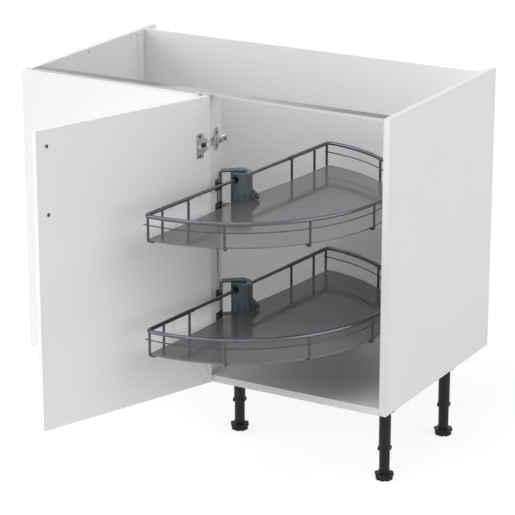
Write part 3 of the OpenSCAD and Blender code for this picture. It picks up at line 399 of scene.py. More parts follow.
def cross_screw_tree():
    """A domed cross-head screw at every point of a mesh, facing along the point's attribute."""
    name = "cross_screws"
    if name in bpy.data.node_groups:
        return bpy.data.node_groups[name]
    tree, nodes, given = geometry_tree(
        name, ("Shank Diameter", "Length", "Head Diameter", "Head Height", "Sides"))
    shank = nodes.add("GeometryNodeMeshCylinder", {
        "Vertices": given["Sides"], "Depth": given["Length"],
        "Radius": nodes.math("MULTIPLY", given["Shank Diameter"], 0.5)})
    half_length = nodes.math("MULTIPLY", given["Length"], -0.5)
    sunk = nodes.add("GeometryNodeTransform", {
        "Geometry": shank.outputs["Mesh"], "Translation": nodes.vector(z=half_length)})
    ball = nodes.add("GeometryNodeMeshUVSphere", {
        "Segments": given["Sides"], "Rings": DOME_RINGS,
        "Radius": nodes.math("MULTIPLY", given["Head Diameter"], 0.5)})
    flatness = nodes.math(
        "DIVIDE", nodes.math("MULTIPLY", given["Head Height"], 2.0), given["Head Diameter"])
    dome = nodes.add("GeometryNodeTransform", {
        "Geometry": ball.outputs["Mesh"], "Scale": nodes.vector(1.0, 1.0, flatness)})
    arm = nodes.math("MULTIPLY", given["Head Diameter"], RECESS_LENGTH)
    width = nodes.math("MULTIPLY", given["Head Diameter"], RECESS_WIDTH)
    cuts = [nodes.add("GeometryNodeMeshCube", {
        "Size": nodes.vector(x, y, given["Head Height"])}).outputs["Mesh"]
        for x, y in ((arm, width), (width, arm))]
    above = nodes.vector(z=given["Head Height"])
    recess = [nodes.add("GeometryNodeTransform", {
        "Geometry": cut, "Translation": above}).outputs[0] for cut in cuts]
    wide = nodes.math("MULTIPLY", given["Head Diameter"], 2.0)
    under = nodes.add("GeometryNodeMeshCube", {"Size": nodes.vector(wide, wide, wide)})
    below = nodes.add("GeometryNodeTransform", {
        "Geometry": under.outputs["Mesh"],
        "Translation": nodes.vector(z=nodes.math("MULTIPLY", given["Head Diameter"], -1.0))})
    head = nodes.add("GeometryNodeMeshBoolean", {
        "Mesh 1": dome.outputs[0], "Mesh 2": [below.outputs[0], *recess]}, operation="DIFFERENCE")
    screw = nodes.add("GeometryNodeJoinGeometry", {
        "Geometry": [sunk.outputs[0], head.outputs["Mesh"]]})
    facing = nodes.add(
        "GeometryNodeInputNamedAttribute", {"Name": "facing"}, data_type="FLOAT_VECTOR")
    rotation = nodes.add("FunctionNodeAlignRotationToVector", {
        "Vector": facing.outputs["Attribute"]}, axis="Z")
    placed = nodes.add("GeometryNodeInstanceOnPoints", {
        "Points": given["Geometry"], "Instance": screw.outputs[0],
        "Rotation": rotation.outputs[0]})
    finish_tree(nodes, placed.outputs[0], given["Material"])
    return tree


def point_mesh(name, points, label, vectors):
    """A mesh of single points that carry a vector each."""
    mesh = bpy.data.meshes.new(name)
    mesh.from_pydata([tuple(point) for point in points], [], [])
    attribute = mesh.attributes.new(label, "FLOAT_VECTOR", "POINT")
    attribute.data.foreach_set("vector", [c for vector in vectors for c in vector])
    return mesh


# ---------------------------------------------------------------- finishes

def object_noise(nodes, waves, detail=2.0, stretch=(1.0, 1.0, 1.0)):
    """Noise between 0 and 1 that is fixed to the piece, with this many waves in a metre."""
    place = nodes.add("ShaderNodeTexCoord").outputs["Object"]
    mapped = nodes.add("ShaderNodeMapping", {"Vector": place, "Scale": stretch})
    noise = nodes.add("ShaderNodeTexNoise", {
        "Vector": mapped.outputs[0], "Scale": waves, "Detail": detail})
    return noise.outputs["Fac"]


def between(nodes, value, low, high, start=0.3, end=0.7):
    """A value between low and high, as the input goes from start to end."""
    spread = nodes.add("ShaderNodeMapRange", {
        "Value": value, "From Min": start, "From Max": end, "To Min": low, "To Max": high})
    return spread.outputs["Result"]


def toned(nodes, colour, value, depth, start=0.3, end=0.7):
    """The colour, darkened by up to the depth as the value falls from end to start."""
    shade = between(nodes, value, 1.0 - depth, 1.0, start, end)
    mixed = nodes.add("ShaderNodeMix", {
        "Factor": 1.0, 6: (*colour, 1.0),
        7: nodes.add("ShaderNodeCombineColor", {0: shade, 1: shade, 2: shade}).outputs[0]},
        data_type="RGBA", blend_type="MULTIPLY")
    return mixed.outputs[2]


def close_material(nodes, colour, roughness, height, relief, **constants):
    """Joins a colour, a roughness and a relief of the given depth in metres to the shader."""
    bump = nodes.add("ShaderNodeBump", {"Height": height, "Distance": relief, "Strength": 1.0})
    shader = nodes.add("ShaderNodeBsdfPrincipled", {
        "Base Color": colour, "Roughness": roughness, "Normal": bump.outputs[0]})
    for name, value in constants.items():
        shader.inputs[name.replace("_", " ")].default_value = value
    nodes.add("ShaderNodeOutputMaterial", {"Surface": shader.outputs[0]})


def melamine(nodes, colour):
    """White melamine-faced board: an even, finely pearled, half-matt face."""
    pearl = object_noise(nodes, waves=1800.0, detail=3.0)
    cloud = object_noise(nodes, waves=6.0)
    close_material(
        nodes, toned(nodes, colour, cloud, depth=0.012),
        between(nodes, pearl, low=0.36, high=0.46), pearl, relief=0.012 * MM,
        Specular_IOR_Level=0.42)


def edge_seam(nodes, colour):
    """The glue line along a board's edge band, a little greyer than the board."""
    speck = object_noise(nodes, waves=900.0)
    close_material(
        nodes, toned(nodes, colour, speck, depth=0.05),
        between(nodes, speck, low=0.4, high=0.55), speck, relief=0.02 * MM)


def lacquer(nodes, colour):
    """Thin white lacquered back board with a slight roller texture."""
    roller = object_noise(nodes, waves=420.0, stretch=(1.0, 1.0, 0.25))
    cloud = object_noise(nodes, waves=4.0)
    close_material(
        nodes, toned(nodes, colour, cloud, depth=0.02),
        between(nodes, roller, low=0.45, high=0.6), roller, relief=0.02 * MM)


def laminate(nodes, colour):
    """Glossy grey shelf laminate with a faint fleck."""
    fleck = object_noise(nodes, waves=950.0, detail=4.0)
    cloud = object_noise(nodes, waves=12.0)
    close_material(
        nodes, toned(nodes, colour, fleck, depth=0.1),
        between(nodes, cloud, low=0.11, high=0.15), fleck, relief=0.004 * MM,
        Specular_IOR_Level=0.6)


def galvanised_painted_reflection(nodes, colour):
    """Satin galvanised sheet with rolling lines. Its colour holds painted reflection: the top is
    painted darker towards both ends, and the front lip is painted pale as a highlight.
    """
    lines = object_noise(nodes, waves=1500.0, detail=3.0, stretch=(0.01, 1.0, 1.0))
    place = nodes.add("ShaderNodeTexCoord").outputs["Object"]
    across, back, _ = nodes.add("ShaderNodeSeparateXYZ", {"Vector": place}).outputs
    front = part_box("front_rail")[0].y
    # painted highlight: the front lip is painted pale
    painted_lip_highlight = between(nodes, back, 1.0, 0.0, *(front + depth for depth in LIP_PAINTED_HIGHLIGHT))
    # painted reflection: the top is painted darker towards both ends
    left = between(nodes, across, 0.17, 0.62, *PAINTED_REFLECTION_LEFT)
    right = between(nodes, across, 1.0, 0.48, *PAINTED_REFLECTION_RIGHT)
    # the painted highlight and the painted reflection, as one shade of the colour
    level = nodes.math("MAXIMUM", painted_lip_highlight, nodes.math("MULTIPLY", left, right))
    close_material(
        nodes, toned(nodes, colour, level, depth=1.0, start=0.0, end=1.0),
        between(nodes, lines, low=0.3, high=0.46), lines, relief=0.01 * MM, Metallic=1.0)


def bright_plate(nodes, colour):
    """Zinc or nickel plate, nearly even, with a few handling marks."""
    marks = object_noise(nodes, waves=160.0, detail=5.0)
    grain = object_noise(nodes, waves=2500.0)
    close_material(
        nodes, toned(nodes, colour, marks, depth=0.1),
        between(nodes, marks, low=0.18, high=0.32), grain, relief=0.006 * MM, Metallic=1.0)


def slate_coat(nodes, colour):
    """Slate grey coat of the posts and wires, smooth with a slight ripple."""
    ripple = object_noise(nodes, waves=60.0)
    dust = object_noise(nodes, waves=1400.0)
    close_material(
        nodes, toned(nodes, colour, ripple, depth=0.12),
        between(nodes, dust, low=0.2, high=0.3), dust, relief=0.01 * MM,
        Metallic=0.45, Specular_IOR_Level=0.8)


def slate_plate(nodes, colour):
    """Dark plated tube of the top rails, which mirrors the lamps as a pale streak."""
    ripple = object_noise(nodes, waves=60.0)
    dust = object_noise(nodes, waves=1400.0)
    close_material(
        nodes, toned(nodes, colour, ripple, depth=0.1),
        between(nodes, dust, low=0.14, high=0.2), dust, relief=0.006 * MM,
        Metallic=0.85, Specular_IOR_Level=0.8)


def brushed_aluminium(nodes, colour):
    """Handle metal brushed along its length."""
    strokes = object_noise(nodes, waves=2200.0, detail=3.0, stretch=(1.0, 1.0, 0.02))
    close_material(
        nodes, toned(nodes, colour, strokes, depth=0.1),
        between(nodes, strokes, low=0.24, high=0.4), strokes, relief=0.012 * MM, Metallic=1.0)


def powder_coat(nodes, colour):
    """Dark powder-coated steel with its orange-peel texture."""
    peel = object_noise(nodes, waves=900.0)
    close_material(
        nodes, toned(nodes, colour, peel, depth=0.1),
        between(nodes, peel, low=0.38, high=0.52), peel, relief=0.05 * MM, Metallic=0.25)


def moulded_plastic(nodes, colour):
    """Moulded plastic with a fine spark-eroded grain."""
    grain = object_noise(nodes, waves=1500.0, detail=3.0)
    wear = object_noise(nodes, waves=70.0, detail=3.0)
    close_material(
        nodes, toned(nodes, colour, wear, depth=0.18),
        between(nodes, wear, low=0.36, high=0.5), grain, relief=0.03 * MM)


def matt_plastic(nodes, colour):
    """Black plastic of the legs, with a dull, coarser grain."""
    grain = object_noise(nodes, waves=900.0, detail=3.0)
    wear = object_noise(nodes, waves=50.0, detail=3.0)
    close_material(
        nodes, toned(nodes, colour, wear, depth=0.18),
        between(nodes, wear, low=0.42, high=0.55), grain, relief=0.04 * MM,
        Specular_IOR_Level=0.3)


def beech(nodes, colour):
    """Fluted beech dowel with short dark flecks along the grain."""
    fleck = object_noise(nodes, waves=700.0, detail=4.0, stretch=(0.15, 1.0, 1.0))
    close_material(
        nodes, toned(nodes, colour, fleck, depth=0.35),
        between(nodes, fleck, low=0.5, high=0.7), fleck, relief=0.06 * MM)


FINISHES = {
    "panel_white": melamine, "panel_seam": edge_seam, "back_white": lacquer,
    "shelf_board": laminate, "dowel_wood": beech, "rail_metal": galvanised_painted_reflection,
    "plate_zinc": bright_plate, "screw_zinc": bright_plate, "handle_metal": brushed_aluminium,
    "hinge_nickel": bright_plate, "shelf_rail": slate_plate, "shelf_wire": slate_coat,
    "hub_plastic": moulded_plastic, "bracket_steel": powder_coat, "pin_steel": bright_plate,
    "leg_plastic": matt_plastic,
}


def finish(name):
    """The material of a finish, made the first time that it is asked for."""
    label = f"{name}.finish"
    material = bpy.data.materials.get(label)
    if material is None:
        material = bpy.data.materials.new(label)
        material.use_nodes = True
        colour = tuple(getattr(bpy.context.scene.cabinet_finishes, name))
        FINISHES[name](Nodes(material.node_tree), colour)
    return material


# ---------------------------------------------------------------- settings

def length(name, description, default):
    """A length property, in metres."""
    return FloatProperty(name=name, description=description, default=default, min=0.0,
                         precision=5, subtype="DISTANCE", unit="LENGTH")


def colour(name, description, default):
    """A colour property in linear red, green and blue."""
    return FloatVectorProperty(name=name, description=description, default=default, size=3,
                               min=0.0, max=1.0, subtype="COLOR")


def strength(name, description, default):
    """A light property, as the share of white that a white face gets from it."""
    return FloatProperty(name=name, description=description, default=default, min=0.0)


class CabinetSizes(bpy.types.PropertyGroup):
    """Sizes of what is modelled on top of the packed cabinet."""
    panel_rounding: length("Panel rounding", "Rounding along the edge bands", 0.0007)
    sheet_rounding: length("Sheet rounding", "Rounding of sheet metal edges", 0.0004)
    plastic_rounding: length("Plastic rounding", "Rounding of moulded edges", 0.0008)
    rail_diameter: length("Rail diameter", "Tube of the shelves' top rail", 0.0095)
    crossbar_diameter: length("Crossbar diameter", "Bar from the rail to the hub", 0.008)
    post_diameter: length("Post diameter", "Rod of the hooked posts", 0.006)
    wire_diameter: length("Wire diameter", "Thin wire between the posts", 0.003)
    corner_bend: length("Corner bend", "Bend radius at the ends of the straight side", 0.012)
    curve_back: length("Curve setback", "Centre of the curve behind the straight side", 0.005)
    bar_sides: IntProperty(name="Bar sides", description="Faces around a bar", default=20, min=8)
    screw_sides: IntProperty(
        name="Screw sides", description="Faces around a screw", default=24, min=8)


class CabinetFinishes(bpy.types.PropertyGroup):
    """Colours of the finishes."""
    panel_white: colour("Panels", "Melamine-faced board", (0.89, 0.89, 0.892))
    panel_seam: colour("Edge seam", "Glue line of the edge band", (0.7, 0.7, 0.71))
    back_white: colour("Back", "Lacquered back board", (0.9, 0.9, 0.903))
    shelf_board: colour("Shelf boards", "Glossy grey laminate", (0.18, 0.18, 0.177))
    dowel_wood: colour("Dowels", "Beech", (0.62, 0.45, 0.27))
    rail_metal: colour("Front rail", "Galvanised sheet", (0.58, 0.585, 0.59))
    plate_zinc: colour("Zinc plate", "Brackets and cam locks", (0.62, 0.62, 0.63))
    screw_zinc: colour("Screws", "Dark zinc plated screws", (0.11, 0.11, 0.113))
    handle_metal: colour("Handle", "Brushed aluminium", (0.74, 0.74, 0.75))
    hinge_nickel: colour("Hinges", "Nickel plate", (0.6, 0.6, 0.59))
    shelf_rail: colour("Top rails", "Dark plate of the rails", (0.13, 0.137, 0.153))
    shelf_wire: colour("Wires", "Grey coat of the posts and wires", (0.075, 0.081, 0.096))
    hub_plastic: colour("Hubs", "Dark grey plastic", (0.15, 0.17, 0.183))
    bracket_steel: colour("Shelf brackets", "Dark powder coat", (0.085, 0.09, 0.095))
    pin_steel: colour("Pivot pins", "Satin dark steel", (0.13, 0.134, 0.14))
    leg_plastic: colour("Legs", "Black plastic", (0.009, 0.009, 0.0095))


class StudioSettings(bpy.types.PropertyGroup):
    """The camera, the lights and the floor."""
    lens: FloatProperty(name="Lens", description="Focal length in millimetres",
                        default=167.8, min=10.0)
    camera_at: FloatVectorProperty(
        name="Camera", description="Place of the camera", default=(2.8406, -4.9682, 2.2825),
        subtype="TRANSLATION", unit="LENGTH")
    camera_yaw: FloatProperty(name="Yaw", description="Turn of the camera to the left",
                              default=0.5208, subtype="ANGLE", unit="ROTATION")
    camera_pitch: FloatProperty(name="Pitch", description="Tilt of the camera below level",
                                default=0.3162, subtype="ANGLE", unit="ROTATION")
    sky: strength("Sky", "Light from all round", 0.22)
    left_light: strength("Left light", "Low light from the front left", 0.62)
    right_light: strength("Right light", "Low light from the right", 0.37)
    front_light: strength("Front light", "Half-high light from the front", 0.2)
    top_light: strength("Top light", "High light from the front", 0.2)
    rear_light: strength("Rear light", "Low light from behind on the left", 0.33)
    lamp_spread: FloatProperty(name="Lamp spread", description="Width of each lamp in the sky",
                               default=math.radians(50), subtype="ANGLE", unit="ROTATION")
    floor_tone: strength("Floor", "Whiteness of the floor", 0.8)
    floor_depth: strength("Floor shadows", "How deep the floor's shadows look", 0.3)
    floor_glow: strength("Floor glow", "White that the floor shows in its shadows", 0.8)


# ---------------------------------------------------------------- pieces of the cabinet

class CABINET_OT_panels(bpy.types.Operator):
    """Rounds the boards along their edge bands and gives them their faces"""
    bl_idname = "cabinet.panels"
    bl_label = "Panels"

    def execute(self, context):
        sizes = context.scene.cabinet_sizes
        for node in PANELS:
            softened(node, sizes.panel_rounding, seam="panel_seam")
        softened("back_panel", sizes.sheet_rounding)
        return {"FINISHED"}


class CABINET_OT_joint_fittings(bpy.types.Operator):
    """Finishes the cams, bolts and dowels that hold the boards together"""
    bl_idname = "cabinet.joint_fittings"
    bl_label = "Joint fittings"

    def execute(self, context):
        softened("cam_locks", context.scene.cabinet_sizes.sheet_rounding)
        for node in ("cam_bolts", "carcass_dowels"):
            for slot in NODES[node].material_slots:
                slot.link = "OBJECT"
                slot.material = finish(SLOT_OF[node])
        return {"FINISHED"}


class CABINET_OT_sheet_parts(bpy.types.Operator):
    """Finishes the front rail and the angles of pressed sheet"""
    bl_idname = "cabinet.sheet_parts"
    bl_label = "Front rail and angles"

    def execute(self, context):
        rounding = context.scene.cabinet_sizes.sheet_rounding
        for node in ("front_rail", "rail_end_brackets", "blank_brackets"):
            softened(node, rounding)
        return {"FINISHED"}


class CABINET_OT_door_hinges(bpy.types.Operator):
    """Finishes the cups, links, arms, plates and pins of both hinges"""
    bl_idname = "cabinet.door_hinges"
    bl_label = "Door hinges"

    def execute(self, context):
        rounding = context.scene.cabinet_sizes.sheet_rounding
        for level in LEVELS:
            for part in HINGE_PARTS:
                softened(f"{level}_{part}", rounding, steps=3)
        for node in ("cup_pins", "arm_pins"):
            softened(node, rounding)
        return {"FINISHED"}


class CABINET_OT_handle(bpy.types.Operator):
    """Finishes the bar handle on the door's outer face"""
    bl_idname = "cabinet.handle"
    bl_label = "Handle"

    def execute(self, context):
        softened("handle", context.scene.cabinet_sizes.plastic_rounding, steps=3)
        return {"FINISHED"}


class CABINET_OT_shelf_boards(bpy.types.Operator):
    """Rounds the edges of the half-round boards"""
    bl_idname = "cabinet.shelf_boards"
    bl_label = "Shelf boards"

    def execute(self, context):
        for level in LEVELS:
            softened(f"{level}_board", context.scene.cabinet_sizes.plastic_rounding)
        return {"FINISHED"}


class CABINET_OT_hubs(bpy.types.Operator):
    """Finishes the hubs, their brackets and the pivot pins"""
    bl_idname = "cabinet.hubs"
    bl_label = "Hubs and brackets"

    def execute(self, context):
        sizes = context.scene.cabinet_sizes
        for level in LEVELS:
            softened(f"{level}_hub", sizes.plastic_rounding)
            softened(f"{level}_bracket", sizes.sheet_rounding)
            softened(f"{level}_pivot_pin", sizes.sheet_rounding)
        return {"FINISHED"}


def bar(name, node, place, paths, diameter, sides):
    """A round bar along paths of the shelf's own frame, which stands for a node."""
    mesh = path_mesh(name, paths)
    mesh.transform(place)
    piece = grown(name, mesh, round_bar_tree(), Diameter=diameter, Sides=sides,
                  Material=finish(SLOT_OF[node]))
    return handed_over(piece, node)


def rail_path(reach, inner_end, height, sizes):
    """The top rail's line, from one inner end round the curve to the other."""
    bend, back = sizes.corner_bend, sizes.curve_back
    bend_x = math.sqrt((reach - bend) ** 2 - (bend + back) ** 2)
    turn = math.atan2(bend + back, bend_x)
    right = [Vector((inner_end, 0, height))]
    right += arc(Vector((bend_x, bend, height)), bend, -math.pi / 2, turn, BEND_SIDES)
    curve = arc(Vector((0, -back, height)), reach, turn, math.pi - turn, ARC_SIDES)[1:-1]
    left = [Vector((-point.x, point.y, point.z)) for point in reversed(right)]
    return right + curve + left


class CABINET_OT_shelf_rails(bpy.types.Operator):
    """Bends the top rails, the thin wires and the crossbars"""
    bl_idname = "cabinet.shelf_rails"
    bl_label = "Shelf rails"

    def execute(self, context):
        sizes = context.scene.cabinet_sizes
        for level in LEVELS:
            place = shelf_place(level)
            rail = in_place_of(vertex_table(f"{level}_top_rail"), place)
            height = (rail[:, 2].min() + rail[:, 2].max()) / 2
            reach = rail[:, 1].max() + sizes.curve_back - sizes.rail_diameter / 2
            straight = rail[np.abs(rail[:, 1]) < sizes.rail_diameter]
            inner_end = np.abs(straight[:, 0]).min()
            bar(f"{level}_rail_tube", f"{level}_top_rail", place,
                [rail_path(reach, inner_end, height, sizes)], sizes.rail_diameter,
                sizes.bar_sides)

            cross = in_place_of(vertex_table(f"{level}_crossbar"), place)
            near, far = np.abs(cross[:, 0]).min(), cross[:, 0].max()
            bar(f"{level}_cross_rods", f"{level}_crossbar", place,
                [[Vector((side * near, 0, height)), Vector((side * far, 0, height))]
                 for side in (-1, 1)], sizes.crossbar_diameter, sizes.bar_sides)

            wire = in_place_of(vertex_table(f"{level}_mid_wire"), place)
            radius = wire[:, 1].max() + sizes.curve_back - sizes.wire_diameter / 2
            past = math.asin((-wire[:, 1].min() - sizes.curve_back) / radius)
            middle = Vector((0, -sizes.curve_back, (wire[:, 2].min() + wire[:, 2].max()) / 2))
            bar(f"{level}_thin_wire", f"{level}_mid_wire", place,
                [arc(middle, radius, -past, math.pi + past, ARC_SIDES)], sizes.wire_diameter,
                WIRE_SIDES)
        return {"FINISHED"}


def post_path(top, foot, reach, bend):
    """A rod straight down from the rail that turns inwards under the board."""
    corner = [Vector((-bend * (1 - math.cos(a)), 0, foot + bend * (1 - math.sin(a))))
              for a in (math.pi / 2 * i / HOOK_SIDES for i in range(HOOK_SIDES + 1))]
    return [Vector((0, 0, top)), *corner, Vector((-reach, 0, foot))]


class CABINET_OT_shelf_posts(bpy.types.Operator):
    """Sets the hooked posts that carry the rails on the boards"""
    bl_idname = "cabinet.shelf_posts"
    bl_label = "Shelf posts"

    def execute(self, context):
        sizes = context.scene.cabinet_sizes
        radius = sizes.post_diameter / 2
        for level in LEVELS:
            posts = separate_solids(f"{level}_posts")
            spots, turns = [], []
            for post in posts:
                upright = post[post[:, 2] > (post[:, 2].min() + post[:, 2].max()) / 2]
                axis = (upright.min(axis=0) + upright.max(axis=0)) / 2
                hook = post[:, :2] - axis[:2]
                end = hook[np.argmax(np.hypot(hook[:, 0], hook[:, 1]))]
                spots.append((axis[0], axis[1], 0.0))
                turns.append((0.0, 0.0, math.atan2(-end[1], -end[0])))
            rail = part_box(f"{level}_top_rail")
            foot = posts[0][:, 2].min() + radius
            reach = np.hypot(*(posts[0][:, :2] - np.array(spots[0][:2])).T).max()
            path = new_piece("post_path", path_mesh("post_path", [
                post_path((rail[0].z + rail[1].z) / 2, foot, reach, radius + HOOK_INSIDE)]))
            name = f"{level}_hooked_posts"
            piece = grown(name, point_mesh(name, spots, "turn", turns), hooked_post_tree(),
                          Path=path, Diameter=sizes.post_diameter, Sides=POST_SIDES,
                          Material=finish(SLOT_OF[f"{level}_posts"]))
            bpy.data.objects.remove(path)
            handed_over(piece, f"{level}_posts")
        return {"FINISHED"}


class CABINET_OT_legs(bpy.types.Operator):
    """Finishes the leg tubes and the lobed feet"""
    bl_idname = "cabinet.legs"
    bl_label = "Legs"

    def execute(self, context):
        rounding = context.scene.cabinet_sizes.plastic_rounding
        for leg in LEGS:
            softened(f"leg_socket_{leg}", rounding)
            softened(f"leg_foot_{leg}", rounding)
        return {"FINISHED"}


def screw_facts(solid, direction):
    """Head's underside, way that it faces, and sizes of a screw along the direction."""
    axis = np.array(direction)
    along = solid @ axis
    middle = (solid.min(axis=0) + solid.max(axis=0)) / 2
    off = solid - middle
    radius = np.linalg.norm(off - np.outer(off @ axis, axis), axis=1)
    low, high = along.min(), along.max()
    widest = along[radius > radius.max() - ON_LEVEL].mean()
    if widest < (low + high) / 2:
        facts = screw_facts(solid, -direction)
    else:
        tip = radius[along < low + ON_LEVEL].max()
        under = Vector(middle + axis * (widest - middle @ axis))
        facts = (under, Vector(direction), 2 * tip, widest - low, 2 * radius.max(), high - widest)
    return facts


class CABINET_OT_screws(bpy.types.Operator):
    """Drives a cross-head screw wherever the cabinet has one"""
    bl_idname = "cabinet.screws"
    bl_label = "Screws"

    def groups(self):
        """Each group of screws with the directions that its screws may lie along."""
        outwards = door_normal()
        found = [
            ("rail_screws", (SIDEWAYS, BACKWARDS)), ("blank_screws", (SIDEWAYS, BACKWARDS)),
            ("plate_screws", (SIDEWAYS,)), ("arm_screws", (SIDEWAYS,)),
            ("bracket_screws", (SIDEWAYS,)), ("leg_screws", (UPWARDS,)),
            ("cup_screws", (outwards,)), ("handle_screws", (outwards,)),
        ]
        for level in LEVELS:
            found.append((f"{level}_hub_screws", (UPWARDS, self.clamp_way(level))))
        return found

    def clamp_way(self, level):
        """Direction of the hub's clamp screw, which lies level beside the hub."""
        solids = separate_solids(f"{level}_hub_screws")
        x, y, _ = max(solids, key=lambda solid: solid[:, 2].mean()).mean(axis=0)
        pivot = JOINT[f"{level}_shelf_turn"]["pos_m"]
        outwards = Vector((x - pivot[0], y - pivot[1], 0)).normalized()
        return outwards.cross(UPWARDS)

    def execute(self, context):
        sides = context.scene.cabinet_sizes.screw_sides
        for node, ways in self.groups():
            kinds = {}
            for solid in separate_solids(node):
                way = min(ways, key=lambda w: roundness(solid, w))
                under, facing, *measures = screw_facts(solid, way)
                key = tuple(round(measure, 4) for measure in measures)
                kinds.setdefault(key, []).append((under, facing))
            pieces = [self.kind(node, i, key, spots, sides)
                      for i, (key, spots) in enumerate(kinds.items())]
            handed_over(joined(pieces, f"{node}.crosshead"), node)
        return {"FINISHED"}

    def kind(self, node, number, key, spots, sides):
        """One plain mesh of like screws."""
        name = f"{node}_{number}"
        shank, depth, head, rise = key
        mesh = point_mesh(name, [spot[0] for spot in spots], "facing", [spot[1] for spot in spots])
        return grown(name, mesh, cross_screw_tree(), SCREW_CREASE, **{
            "Shank Diameter": shank, "Length": depth, "Head Diameter": head,
            "Head Height": rise, "Sides": sides, "Material": finish(SLOT_OF[node])})


def roundness(solid, direction):
    """How far a solid's outline across the direction is from round and centred."""
    axis = np.array(direction)
    middle = (solid.min(axis=0) + solid.max(axis=0)) / 2
    off = solid - middle
    radius = np.linalg.norm(off - np.outer(off @ axis, axis), axis=1)
    rim = radius[radius > CORE * radius.max()]
    return len(set(np.round(rim, 4)))


def joined(pieces, name):
    """The pieces as one mesh under the name."""
    bm = bmesh.new()
    for piece in pieces:
        bm.from_mesh(piece.data)
    mesh = bpy.data.meshes.new(name)
    bm.to_mesh(mesh)
    bm.free()
    for material in pieces[0].data.materials:
        mesh.materials.append(material)
    for piece in pieces:
        bpy.data.objects.remove(piece)
    return new_piece(name, mesh)


# ---------------------------------------------------------------- studio

def seen(nodes):
    """1 for rays from the camera and for mirrored or refracted ones, or else 0."""
    path = nodes.add("ShaderNodeLightPath").outputs
    shiny = nodes.math("MAXIMUM", path["Is Glossy Ray"], path["Is Transmission Ray"])
    return nodes.math("MAXIMUM", path["Is Camera Ray"], shiny)


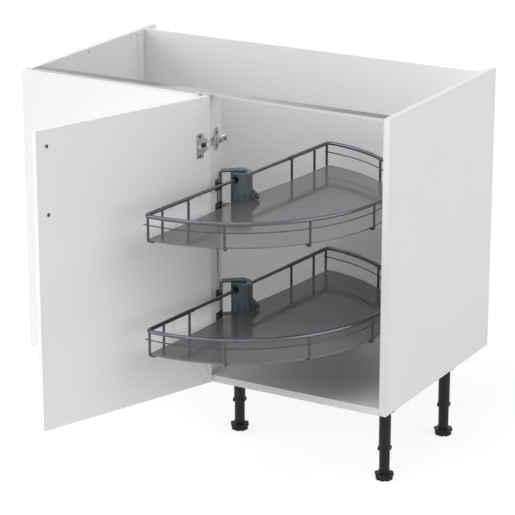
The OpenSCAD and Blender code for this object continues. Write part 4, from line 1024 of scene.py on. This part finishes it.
class CABINET_OT_stage(bpy.types.Operator):
    """Sets up the white floor, the soft lights and the camera"""
    bl_idname = "cabinet.stage"
    bl_label = "Studio"

    def floor(self, studio):
        """A wide plane whose shadows stay soft and pale."""
        mesh = bpy.data.meshes.new("studio_floor")
        corners = [(x * FLOOR_HALF, y * FLOOR_HALF, 0)
                   for x, y in ((-1, -1), (1, -1), (1, 1), (-1, 1))]
        mesh.from_pydata(corners, [], [(0, 1, 2, 3)])
        floor = new_piece("studio_floor", mesh)
        floor.location.z = CAD_BOX[0].z - FLOOR_GAP
        material = bpy.data.materials.new("studio_floor")
        material.use_nodes = True
        nodes = Nodes(material.node_tree)
        tone, depth = studio.floor_tone, studio.floor_depth
        paint = nodes.add("ShaderNodeBsdfDiffuse", {"Color": (tone, tone, tone, 1.0)})
        shadow = nodes.add("ShaderNodeBsdfDiffuse", {"Color": (depth, depth, depth, 1.0)})
        glow = nodes.add(
            "ShaderNodeEmission", {"Color": (1, 1, 1, 1), "Strength": studio.floor_glow})
        white = nodes.add("ShaderNodeAddShader", {0: shadow.outputs[0], 1: glow.outputs[0]})
        mixed = nodes.add("ShaderNodeMixShader", {
            0: seen(nodes), 1: paint.outputs[0], 2: white.outputs[0]})
        nodes.add("ShaderNodeOutputMaterial", {"Surface": mixed.outputs[0]})
        mesh.materials.append(material)

    def sky(self, scene, strength):
        """Even light from all round, which the camera and shiny pieces see as white."""
        world = bpy.data.worlds.new("studio_sky")
        world.use_nodes = True
        nodes = Nodes(world.node_tree)
        dim = nodes.add("ShaderNodeBackground", {"Color": (1, 1, 1, 1), "Strength": strength})
        white = nodes.add("ShaderNodeBackground", {"Color": (1, 1, 1, 1), "Strength": 1.0})
        mixed = nodes.add("ShaderNodeMixShader", {
            0: seen(nodes), 1: dim.outputs[0], 2: white.outputs[0]})
        nodes.add("ShaderNodeOutputWorld", {"Surface": mixed.outputs[0]})
        scene.world = world

    def lamp(self, name, turn, height, power, spread):
        """A wide, far lamp. Its turn is from the front towards the right side."""
        light = bpy.data.lights.new(name, "SUN")
        light.energy = math.pi * power
        light.angle = spread
        towards = Vector((math.sin(turn) * math.cos(height), -math.cos(turn) * math.cos(height),
                          math.sin(height)))
        lamp = bpy.data.objects.new(name, light)
        lamp.rotation_euler = towards.to_track_quat("Z", "Y").to_euler()
        bpy.context.scene.collection.objects.link(lamp)

    def execute(self, context):
        scene = context.scene
        studio = scene.cabinet_studio
        self.floor(studio)
        self.sky(scene, studio.sky)
        for name, (turn, height) in LAMP_PLACES.items():
            self.lamp(name, math.radians(turn), math.radians(height), getattr(studio, name),
                      studio.lamp_spread)
        camera = bpy.data.cameras.new("studio_camera")
        camera.lens = studio.lens
        camera.clip_end = FURTHEST
        holder = bpy.data.objects.new("studio_camera", camera)
        holder.location = studio.camera_at
        holder.rotation_euler = (math.pi / 2 - studio.camera_pitch, 0.0, studio.camera_yaw)
        scene.collection.objects.link(holder)
        scene.camera = holder
        scene.view_settings.view_transform = "Standard"
        return {"FINISHED"}


OPERATORS = (
    CABINET_OT_stage, CABINET_OT_panels, CABINET_OT_joint_fittings, CABINET_OT_sheet_parts,
    CABINET_OT_door_hinges, CABINET_OT_handle, CABINET_OT_shelf_boards, CABINET_OT_hubs,
    CABINET_OT_shelf_rails, CABINET_OT_shelf_posts, CABINET_OT_legs, CABINET_OT_screws,
)
SETTINGS = {
    "cabinet_sizes": CabinetSizes, "cabinet_finishes": CabinetFinishes,
    "cabinet_studio": StudioSettings,
}


class CABINET_PT_sidebar(bpy.types.Panel):
    """Lists the settings and the steps in the order in which they run"""
    bl_idname = "CABINET_PT_sidebar"
    bl_label = "Corner carousel cabinet"
    bl_space_type = "VIEW_3D"
    bl_region_type = "UI"
    bl_category = "Cabinet"

    def draw(self, context):
        for attribute, group in SETTINGS.items():
            box = self.layout.box()
            box.label(text=group.__doc__)
            for name in group.__annotations__:
                box.prop(getattr(context.scene, attribute), name)
        for operator in OPERATORS:
            self.layout.operator(operator.bl_idname)


def register():
    for cls in (*SETTINGS.values(), *OPERATORS, CABINET_PT_sidebar):
        bpy.utils.register_class(cls)
    for attribute, group in SETTINGS.items():
        setattr(bpy.types.Scene, attribute, PointerProperty(type=group))


def unregister():
    for attribute in SETTINGS:
        delattr(bpy.types.Scene, attribute)
    for cls in reversed((*SETTINGS.values(), *OPERATORS, CABINET_PT_sidebar)):
        bpy.utils.unregister_class(cls)


def main():
    """Registers the classes and runs every step."""
    register()
    bpy.ops.cabinet.stage()
    bpy.ops.cabinet.panels()
    bpy.ops.cabinet.joint_fittings()
    bpy.ops.cabinet.sheet_parts()
    bpy.ops.cabinet.door_hinges()
    bpy.ops.cabinet.handle()
    bpy.ops.cabinet.shelf_boards()
    bpy.ops.cabinet.hubs()
    bpy.ops.cabinet.shelf_rails()
    bpy.ops.cabinet.shelf_posts()
    bpy.ops.cabinet.legs()
    bpy.ops.cabinet.screws()


if __name__ == "__main__":
    main()
